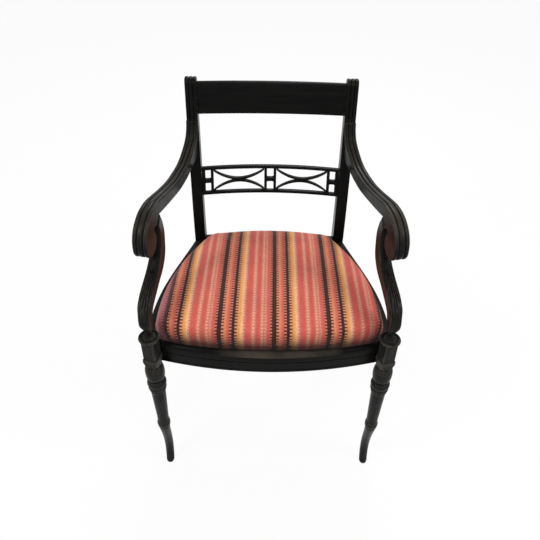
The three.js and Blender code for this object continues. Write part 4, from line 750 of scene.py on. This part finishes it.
# Arm supports. Each is an S-shaped beech board that swells from a slim foot, pinned into the leg's cap, to
# the knee, and thins to the arm, which it is dowelled to. Its front is rounded and cut with long narrow
# leaves that spread from one tip.
cap_top, head_thickness, knee_thickness, foot_half, foot_fullness = 493.0, 23.0, 27.5, 5.0, 6.4
support_foot_z, support_foot_x = cap_top + glue_gap, 257.5
support_rise, support_reach = head_back[1] - cap_top, head_back[0] - leg_y
head_mid = (head_front + head_back) / 2
inner_x = arm_root_x + arm_slope * (arm_root - head_mid[0]) - 2.0
support_slope = (support_foot_x - inner_x) / (head_mid[0] - leg_y)


def on_support(pairs):
    """Shares of the way back from the leg's axis to the head, and of the way up to it, as y and z."""
    return np.array([(leg_y + support_reach * y, support_foot_z + support_rise * z) for y, z in pairs])


def place_support(y, z, share):
    """A point of the support: it leans from the leg's axis to the arm, swells by smooth steps over the
    lowest third of the rise and thins again above the knee. The outer face is full right down to the foot,
    and the inner one only at the front, because the seat is lifted out behind it."""
    rise = np.clip((z - cap_top) / support_rise, 0.0, 1.0)
    full = knee_thickness + (head_thickness - knee_thickness) * ease(rise, 0.25, 0.75)
    swell = ease(rise, 0.0, 0.3)
    half = foot_half + (full / 2 - foot_half) * swell
    leaning = inner_x + support_slope * (head_mid[0] - y) + full / 2
    at_foot = ease(rise, 0.0, 0.13)
    fuller_outside = foot_fullness * (1 - ease(rise, 0.08, 0.25)) * (1 - 0.65 * ease(y, -246.0, -206.0))
    outer = half + at_foot * fuller_outside
    clear = np.maximum(1 - ease(y, -244.0, -228.0), ease(rise, 0.15, 0.3))
    fuller_inside = (1.8 + 2.2 * (1 - ease(rise, 0.0, 0.2))) * (1 - ease(rise, 0.44, 0.62))
    inner = half + at_foot * clear * fuller_inside
    step = ((outer + inner) * share - inner) / math.hypot(support_slope, 1.0)
    return np.stack([leg_x + (leaning - leg_x) * swell + step, y + step * support_slope, z], -1)


support_front = flowing(on_support([
    (0.045, 0), (0.01, 0.025), (-0.008, 0.065), (-0.01, 0.11), (0.012, 0.155), (0.07, 0.215), (0.14, 0.275),
    (0.22, 0.33), (0.3, 0.372), (0.386, 0.399), (0.547, 0.44), (0.684, 0.49), (0.803, 0.561), (0.887, 0.667),
    (0.917, 0.783), (0.9, 0.904), (0.87, 1.02)]), 300)
support_back = flowing(on_support([
    (1.0, 1.06), (1.01, 0.985), (1.07, 0.87), (1.1, 0.72), (1.06, 0.56), (0.95, 0.43), (0.8, 0.352),
    (0.6, 0.31), (0.43, 0.255), (0.3, 0.18), (0.22, 0.1), (0.17, 0.04), (0.15, 0)]), 120)
head_run = (head_back - head_front) / np.linalg.norm(head_back - head_front)
knee_clear_z = 600.0


def below_head(line):
    """The points more than a glue line below the arm: measured square to the line through the head's two
    ends, which would run on through the knee, so what is low down stays too."""
    above = (line - head_front) @ np.array([-head_run[1], head_run[0]])
    return line[(above < -glue_gap) | (line[:, 1] < knee_clear_z)]


support_front, support_back = below_head(support_front), below_head(support_back)
support_outline = np.concatenate([support_front, support_back])
is_front = (np.arange(len(support_outline)) < len(support_front)).astype(float)[:, None]
support_share = np.linspace(0.0, 1.0, 51)
across = 2 * support_share[None] - 1
height = ((support_outline[:, 1] - support_foot_z) / support_rise)[:, None]
run = np.concatenate([[0.0], np.cumsum(np.hypot(*np.diff(support_outline, axis=0).T))])[:, None]
leaf_repeat, leaf_depth, crown_depth, back_arris = 38.0, 1.5, 3.0, 1.0
spread = 1.0 - 0.75 * ease(run, 75.0, 185.0)
blade = across / spread
veins = np.abs(np.sin(np.pi * 2.5 * blade)) ** 0.8
overlap = 0.6 + 0.4 * np.sin(2 * np.pi * (run / leaf_repeat + 0.8 * np.abs(blade) + 0.2 * blade))
in_leaf = ease(run, 44.0, 78.0) * (1 - ease(run, 160.0, 192.0)) * (1 - ease(np.abs(blade), 0.88, 1.02))
crown = crown_depth * np.abs(across) ** 3.0 * ease(height, 0.0, 0.05)
carved = crown + leaf_depth * veins * overlap * in_leaf
eased_back = back_arris * np.clip(1 - (1 - np.abs(across)) * 12.0, 0, 1)
# The supports' lighter tone is painted light.
support_grain = ebonised_wood("ebonised_wood_support", (9.0, 9.0, 0.8), 2.4, cheek_from=0.2)
support_points, support_faces, support_cheeks = sawn_board(
    support_outline, place_support, support_share, is_front * carved + (1 - is_front) * eased_back, 4.0)
placed_rise = (support_points[:, 2] - cap_top) / support_rise
inner_side = place_support(support_points[:, 1], support_points[:, 2], 0.5)[:, 0] > support_points[:, 0]
# Painted highlights along the ridges of the leaves.
leaf_ridges = 0.75 * in_leaf * (1 - np.minimum(veins / 0.55, 1.0)) * overlap * is_front
# On the inner cheek, which faces the seat, brown is painted in above the foot: painted reflection of the red
# cloth.
pair_of("arm_support_carved", support_points, support_grain, "arm_support", faces=support_faces,
        crest_radius=0.004, wear=edge_wear_of(support_points, leaf_ridges),
        cheeks=0.13 * support_cheeks * inner_side * ease(placed_rise, 0.05, 0.35))


# Dowels, corner blocks and screws. Beech dowels hold the legs, arms and supports; beech blocks glued in
# the corners of the frame are held by countersunk steel screws. All of this is the frame's own solids.
def plain_wood(name, light, dark, grain):
    """Unpolished wood: noise drawn out along the grain between two colours, with open pores as bumps."""
    look, tree, surface = new_look(name)
    place = wire(tree, "ShaderNodeTexCoord").outputs["Object"]
    drawn = wire(tree, "ShaderNodeMapping", {"Vector": place, "Scale": grain}).outputs["Vector"]
    figure = noise_over(tree, drawn, 14.0, 6.0, 0.65)
    tree.links.new(tinted(tree, figure, dark, light), surface.inputs["Base Color"])
    tree.links.new(tilted(tree, figure, 0.4, 0.0006), surface.inputs["Normal"])
    surface.inputs["Roughness"].default_value = 0.72
    return look


def finish_nodes(look, names):
    """Gives nodes of the frame that stay as they are their finish."""
    for name in names:
        for slot_of_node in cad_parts[name].material_slots:
            slot_of_node.material = look


def both_hands(names):
    """The names of the right-hand nodes and of the left-hand ones."""
    return [f"{side}_{name}" for side in ("right", "left") for name in names]


inner_beech = plain_wood("unpolished_beech", (0.50, 0.33, 0.18, 1), (0.30, 0.18, 0.09, 1), (7.0, 1.0, 7.0))
finish_nodes(inner_beech, both_hands(["leg_dowel", "arm_dowel", "support_head_dowel", "front_corner_block",
                                      "back_corner_block"]))
steel, steel_tree, steel_surface = new_look("screw_steel")
steel_place = wire(steel_tree, "ShaderNodeTexCoord").outputs["Object"]
steel_patches = noise_over(steel_tree, steel_place, 420.0, 4.0)
steel_colour = tinted(steel_tree, steel_patches, (0.36, 0.34, 0.31, 1), (0.52, 0.51, 0.50, 1))
steel_tree.links.new(steel_colour, steel_surface.inputs["Base Color"])
steel_tree.links.new(steel_patches, steel_surface.inputs["Roughness"])
steel_surface.inputs["Metallic"].default_value = 1.0
finish_nodes(steel, both_hands(["front_block_front_screw", "front_block_side_screw", "back_block_back_screw",
                                "back_block_side_screw"]))


# Loose seat frame and webbing. Four beech members joined flat, with woven jute webs strained over them and
# tacked down; from below they are what one sees of the seat.
seat_beech = plain_wood("seat_frame_beech", (0.46, 0.31, 0.18, 1), (0.28, 0.17, 0.09, 1), (1.0, 7.0, 7.0))
finish_nodes(seat_beech, both_hands(["seat_frame_side"]) + ["seat_frame_front", "seat_frame_back"])
jute, jute_tree, jute_surface = new_look("jute_webbing")
jute_place = wire(jute_tree, "ShaderNodeTexCoord").outputs["Object"]
thread = {"Vector": jute_place, "Scale": 130.0, "Distortion": 1.2, "Detail": 1.0}
jute_weave = worked_out(jute_tree, "MULTIPLY", *(
    wire(jute_tree, "ShaderNodeTexWave", thread, bands_direction=way).outputs["Fac"] for way in ("X", "Y")))
jute_colour = tinted(jute_tree, jute_weave, (0.16, 0.11, 0.06, 1), (0.42, 0.33, 0.20, 1))
jute_tree.links.new(jute_colour, jute_surface.inputs["Base Color"])
jute_tree.links.new(tilted(jute_tree, jute_weave, 0.7, 0.0008), jute_surface.inputs["Normal"])
jute_surface.inputs["Roughness"].default_value = 0.9
finish_nodes(jute, ["seat_webbing"])


# Seat cushion. Stuffing over the webs under a striped ribbed cloth, which is drawn down over the frame and
# tacked beneath it. The stripes run from front to back; thin dark bars beside the dark stripes and pale
# dots along the rose ones are floats of the weave. Between the webs it shows its plain jute lining.
def dyed(red, green, blue):
    """A colour of 255 steps as the light it gives back: the power 2.4 of its share, once offset by 0.055."""
    return tuple(((step / 255 + 0.055) / 1.055) ** 2.4 for step in (red, green, blue)) + (1,)


def striped_cloth(name):
    """The stripes are a ramp over one repeat of the cloth's own width, read from its UV map in metres;
    ladders and dots are a square wave along its length where further ramps let them through."""
    look, tree, surface = new_look(name)
    cloth = wire(tree, "ShaderNodeUVMap", uv_map="cloth").outputs["UV"]
    place = wire(tree, "ShaderNodeTexCoord").outputs["Object"]

    def moved(operation, *terms, **inputs):
        """The terms put through one step of arithmetic on each of their three parts."""
        return wire(tree, "ShaderNodeVectorMath", {**dict(enumerate(terms)), **inputs},
                    operation=operation).outputs["Vector"]

    def product(*terms):
        """The terms multiplied together, from the left."""
        so_far = terms[0]
        for term in terms[1:]:
            so_far = worked_out(tree, "MULTIPLY", so_far, term)
        return so_far

    unsteady = wire(tree, "ShaderNodeTexNoise", {"Vector": place, "Scale": 60.0, "Detail": 2.0})
    centred = moved("SUBTRACT", unsteady.outputs["Color"], (0.5, 0.5, 0.5))
    wavering = moved("MULTIPLY", centred, (0.0016, 0.0022, 0.0))
    parts = wire(tree, "ShaderNodeSeparateXYZ", {"Vector": moved("ADD", cloth, wavering)}).outputs
    across, along = parts["X"], parts["Y"]
    repeat, drawn_repeat, dash_repeat = 0.1208, 121.5, 0.0081
    share = worked_out(tree, "FRACT", worked_out(tree, "MULTIPLY_ADD", across, 1 / repeat, 10.0))

    def ramp(stops):
        """A colour ramp over one repeat, from places on a drawing of it and colours; its two ends first."""
        made = wire(tree, "ShaderNodeValToRGB", {"Fac": share})
        elements = made.color_ramp.elements
        for drawn_at, tone in stops[2:]:
            elements.new(drawn_at / drawn_repeat).color = tone
        for element, (drawn_at, tone) in zip((elements[0], elements[-1]), stops[:2]):
            element.position, element.color = drawn_at / drawn_repeat, tone
        return made.outputs["Color"]

    def gate(*openings):
        """A ramp that is nought but for openings, each this much open and softened at its ends."""
        shut, stops = (0, 0, 0, 1), []
        for starts, full_from, full_to, ends, much in openings:
            opened = (much, much, much, 1)
            stops += [(starts, shut), (full_from, opened), (full_to, opened), (ends, shut)]
        return ramp([(0.0, shut), (drawn_repeat, shut)] + stops)

    dark, coral, orange = dyed(62, 36, 32), dyed(210, 104, 84), dyed(214, 130, 92)
    amber, cream, rose, deep = dyed(222, 142, 78), dyed(234, 178, 128), dyed(204, 92, 82), dyed(192, 88, 80)
    ochre, straw, clay = dyed(186, 112, 66), dyed(228, 160, 100), dyed(198, 124, 106)
    shell, salmon = dyed(210, 128, 106), dyed(206, 120, 98)
    colour = ramp([
        (0.0, dark), (drawn_repeat, dark), (5.2, dark), (6.2, coral), (10.0, coral), (11.5, orange),
        (15.0, orange), (18.0, coral), (22.5, deep), (27.8, deep), (28.8, dark), (34.8, dark), (36.0, ochre),
        (42.0, amber), (46.5, straw), (49.0, cream), (52.2, cream), (53.6, clay), (61.0, rose), (69.0, rose),
        (73.0, shell), (79.0, shell), (83.0, rose), (89.0, rose), (92.5, shell), (104.0, salmon),
        (108.0, rose), (112.0, rose), (116.6, deep), (117.6, dark)])
    ladder_left = gate((22.0, 23.0, 28.0, 28.8, 1), (112.4, 113.4, 117.0, 118.0, 1))
    ladder_right = gate((5.2, 6.0, 10.2, 11.2, 1), (34.4, 35.2, 40.0, 41.2, 1))
    dots = gate((52.6, 53.4, 55.8, 57.0, 1), (73.0, 74.5, 77.5, 79.0, 1), (92.5, 94.0, 96.5, 98.0, 1),
                (100.5, 101.5, 103.5, 105.0, 0.6))
    pace = worked_out(tree, "MULTIPLY", along, 1 / dash_repeat)

    def dashes(phase):
        """A square wave along the cloth with softened steps, started this share of a repeat on."""
        step = worked_out(tree, "PINGPONG", worked_out(tree, "ADD", pace, phase), 0.5)
        return carried(tree, step, 0.21, 0.29)

    pale, ivory = dyed(230, 170, 136), dyed(232, 178, 150)
    for mask, wave, tone, strength in (
            (ladder_left, dashes(0.0), dark, 0.92), (ladder_left, dashes(0.5), pale, 0.3),
            (ladder_right, dashes(0.5), dark, 0.92), (ladder_right, dashes(0.0), pale, 0.5),
            (dots, dashes(0.25), ivory, 0.78)):
        colour = tinted(tree, product(mask, wave, strength), colour, tone)
    rib_repeat, warp_repeat = 0.0011, 0.0009
    ribbing = worked_out(tree, "SINE", product(along, 2 * math.pi / rib_repeat))
    warping = worked_out(tree, "SINE", product(across, 2 * math.pi / warp_repeat))
    pile, broad = noise_over(tree, place, 420.0, 4.0, 0.7), noise_over(tree, place, 14.0, 3.0)
    speckle = product(carried(tree, broad, 0.3, 0.7, 0.90, 1.06), carried(tree, pile, 0.34, 0.66, 0.72, 1.26))
    height = wire(tree, "ShaderNodeSeparateXYZ", {"Vector": place}).outputs["Z"]
    # Painted shade: the cloth darkens down its drop towards the rail.
    painted_skirt_shade = carried(tree, height, 0.456, 0.491, 0.1, 1.0)
    speckled_and_shaded = moved("SCALE", moved("SCALE", colour, Scale=speckle), Scale=painted_skirt_shade)
    # Painted sheen: plum towards the left edge. Painted shade: deeper crimson towards the right edge.
    painted_left_sheen = carried(tree, across, -0.236, -0.256, 0.0, 0.6)
    plum = tinted(tree, painted_left_sheen, speckled_and_shaded, dyed(158, 104, 118))
    painted_right_shade = carried(tree, across, 0.15, 0.24, 0.0, 1.0)
    crimson = tinted(tree, painted_right_shade, plum, (0.94, 0.78, 0.84, 1), "MULTIPLY")
    woven = tilted(tree, product(ribbing, warping), 0.35, 0.0003)
    tree.links.new(crimson, surface.inputs["Base Color"])
    tree.links.new(tilted(tree, pile, 0.3, 0.0005, woven), surface.inputs["Normal"])
    surface.inputs["Roughness"].default_value = 0.9
    surface.inputs["Sheen Weight"].default_value = 0.12
    surface.inputs["Sheen Roughness"].default_value = 0.5
    surface.inputs["Specular IOR Level"].default_value = 0.15
    return look


def crowned_rings(inset, drop):
    """Rings of the cushion from its lower edge to near its middle: the plan of the seat moved in and out by
    the edge profile, then the last of these shrunk towards the middle, each at its share of the height,
    which falls towards the back by the square of the way there."""
    middle, half_depth, clearance = leg_y + seat_depth / 2, seat_depth / 2, 1.5
    low, full_height, back_fall = 436.6, 64.0, 9.0

    def ring_at(plan, up):
        """The plan with the height of this share of the crown."""
        backward = np.clip((plan[:, 1] - middle) / half_depth, 0.0, 1.0)
        height = np.maximum(low, ledge + (full_height - back_fall * backward ** 2 - drop) * up)
        return np.concatenate([plan, height[:, None]], 1)

    edge = flowing([(0, 0), (0, 0.18), (-0.9, 0.3), (-1, 0.42), (-0.1, 0.62), (2.6, 0.76), (8, 0.87)], 16)
    rings = [ring_at(seat_edge(clearance + inset * ease(up, 0.2, 0.5) + 1.5 * out, 3), up)
             for out, up in edge]
    roll = seat_edge(clearance + inset + 12.0, 3) - (0, middle)
    top = flowing([(1.0, 0.87), (0.84, 0.915), (0.66, 0.957), (0.4, 0.988), (0.14, 0.999), (0.02, 1.0)], 20)
    return np.array(rings + [ring_at(roll * out + (0, middle), up) for out, up in top[1:]])


rings = crowned_rings(-1.5, 0.5)
pad_mesh = new_mesh("seat_cushion_stuffed", rings, woven_grid(*rings.shape[:2]))
cushion = set_down("seat_cushion_stuffed", pad_mesh)


def applied(piece):
    """The piece's mesh with its modifiers worked in."""
    bpy.context.view_layer.update()
    worked = bpy.data.meshes.new_from_object(piece.evaluated_get(bpy.context.evaluated_depsgraph_get()))
    piece.modifiers.clear()
    piece.data = worked
    return worked


held_below, swell_limit, last_frame = 0.4535, 0.003, 20
remesh = cushion.modifiers.new("even", "REMESH")
remesh.mode, remesh.voxel_size = "VOXEL", 0.005
start = read_off(applied(cushion).vertices, "co")
held = cushion.vertex_groups.new(name="held")
held.add([int(i) for i in np.nonzero(start[:, 2] < held_below)[0]], 1.0, "REPLACE")
cloth = cushion.modifiers.new("cloth", "CLOTH")
cloth.settings.quality = 6
cloth.settings.mass = 0.3
cloth.settings.use_pressure = True
cloth.settings.uniform_pressure_force = 4.0
cloth.settings.vertex_group_mass = "held"
cloth.settings.effector_weights.gravity = 0.0
cloth.point_cache.frame_start, cloth.point_cache.frame_end = 1, last_frame
for step in range(1, last_frame + 1):
    bpy.context.scene.frame_set(step)
moved = read_off(applied(cushion).vertices, "co") - start
bpy.context.scene.frame_set(1)
size = np.linalg.norm(moved, axis=1, keepdims=True)
swollen = start + moved * np.minimum(1.0, swell_limit / np.maximum(size, 1e-9))
cushion.data.vertices.foreach_set("co", swollen.ravel())
smooth = cushion.modifiers.new("soft", "SMOOTH")
smooth.factor, smooth.iterations = 0.5, 2
finer = cushion.modifiers.new("finer", "SUBSURF")
finer.levels = finer.render_levels = 1
mesh = applied(cushion)
cover = read_off(mesh.vertices, "co") * 1000
underside_z, hem_width, web_top = 446.0, 5.5, 457.2
rim = seat_edge(0.0, 6)
beneath = cover[:, 2] < underside_z
from_rim = np.full(len(cover), 99.0)
for part in np.array_split(np.nonzero(beneath)[0], 40):
    from_rim[part] = np.sqrt(((cover[part, None, :2] - rim[None]) ** 2).sum(-1)).min(1)
lifted = beneath & (from_rim > hem_width)
cover[lifted, 2] = web_top
mesh.vertices.foreach_set("co", (cover / 1000).ravel())
mesh.update()

# The cloth's own width and length at each point: the plan, moved a little askew and drawn in towards the
# back and, where the cloth hangs, carried on by the drop along the way that it faces.
hangs_below, cloth_front, cloth_run, cloth_shift, cloth_skew, drawn_in = 490.0, -245, 363, 8.5, 4.4, 0.033
facing = read_off(mesh.vertices, "normal")
hang = np.maximum(hangs_below - cover[:, 2], 0.0)
carried_on = hang[:, None] * facing[:, :2] / np.abs(facing).sum(1)[:, None]
backward = (cover[:, 1] - cloth_front) / cloth_run
width = (cover[:, 0] - cloth_shift - cloth_skew * backward) * (1 + drawn_in * backward)
on_cloth = np.stack([width, cover[:, 1]], 1) + carried_on
corner_point = read_off(mesh.loops, "vertex_index", 1, np.int64).ravel()
cloth_map = mesh.uv_layers.new(name="cloth")
cloth_map.data.foreach_set("uv", (on_cloth[corner_point] / 1000).ravel())
mesh.shade_smooth()
mesh.materials.clear()
mesh.materials.append(striped_cloth("striped_fabric"))
mesh.materials.append(jute)
first_corner = read_off(mesh.polygons, "loop_start", 1, np.int32).ravel()
over_webs = np.logical_and.reduceat(lifted[corner_point], first_corner)
mesh.polygons.foreach_set("material_index", over_webs.astype(np.int32))
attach(cushion, "slip_seat")
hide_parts("seat_cover", "seat_pad")


# The room. A plain pale floor and even daylight, and the camera at the height and angle of a person
# standing in front of the chair.
def seen_or_mirrored_in(tree):
    """One where a ray comes from the camera, from a gloss or through glass, and nought elsewhere."""
    ray = wire(tree, "ShaderNodeLightPath").outputs
    either = worked_out(tree, "MAXIMUM", ray["Is Camera Ray"], ray["Is Glossy Ray"])
    return worked_out(tree, "MAXIMUM", either, ray["Is Transmission Ray"])


white, white_tree, white_surface = new_look("pale_floor")
white_surface.inputs["Base Color"].default_value = (0.86, 0.86, 0.86, 1)
white_surface.inputs["Roughness"].default_value = 0.9
bright = wire(white_tree, "ShaderNodeEmission", {"Color": (1, 1, 1, 1), "Strength": 1.0})
share_white = worked_out(white_tree, "MULTIPLY", seen_or_mirrored_in(white_tree), 0.92)
mixed = wire(white_tree, "ShaderNodeMixShader", {
    0: share_white, 1: white_surface.outputs["BSDF"], 2: bright.outputs["Emission"]})
white_tree.links.new(mixed.outputs["Shader"], white_tree.nodes["Material Output"].inputs["Surface"])
floor_half = 6
floor_mesh = bpy.data.meshes.new("floor")
floor_mesh.from_pydata([
    (-floor_half, -floor_half, 0), (floor_half, -floor_half, 0), (floor_half, floor_half, 0),
    (-floor_half, floor_half, 0)], [], [(0, 1, 2, 3)])
floor_mesh.materials.append(white)
floor = set_down("floor", floor_mesh)

world = bpy.data.worlds.new("daylight")
bpy.context.scene.world = world
world.use_nodes = True
sky = world.node_tree.nodes["Background"]
sky.inputs["Color"].default_value = (1.0, 1.0, 1.0, 1)
world_strength = carried(world.node_tree, seen_or_mirrored_in(world.node_tree), 0.0, 1.0, 0.5, 1.0)
world.node_tree.links.new(world_strength, sky.inputs["Strength"])

lamp_size, lit_point = 0.9, Vector((0, 0, 0.45))
for name, place, power in (("window_left", (-1.9, -1.5, 2.3), 36.0), ("window_right", (2.0, -0.9, 2.2), 26.0),
                           ("window_back", (0.3, 1.9, 2.4), 32.0)):
    lamp = bpy.data.lights.new(name, "AREA")
    lamp.size, lamp.energy = lamp_size, power
    light = set_down(name, lamp)
    light.location = place
    light.rotation_euler = (lit_point - Vector(place)).to_track_quat("-Z", "Y").to_euler()

yaw, pitch, roll = 0.017993, 0.719529, 0.022624
ahead = Vector((math.sin(yaw) * math.cos(pitch), math.cos(yaw) * math.cos(pitch), -math.sin(pitch)))
level_right = Vector((math.cos(yaw), -math.sin(yaw), 0.0))
level_up = level_right.cross(ahead)
right = math.cos(roll) * level_right + math.sin(roll) * level_up
up = math.cos(roll) * level_up - math.sin(roll) * level_right
focal_pixels, picture_pixels = 582.691784, 540
camera_data = bpy.data.cameras.new("camera")
camera_data.sensor_width, camera_data.lens = 36.0, 36.0 * focal_pixels / picture_pixels
camera = set_down("camera", camera_data)
eye = Vector((-0.018311, -1.093824, 1.422841))
camera.matrix_world = Matrix((
    (right.x, up.x, -ahead.x, eye.x), (right.y, up.y, -ahead.y, eye.y), (right.z, up.z, -ahead.z, eye.z),
    (0, 0, 0, 1)))
bpy.context.scene.camera = camera
bpy.context.scene.view_settings.view_transform = "Standard"
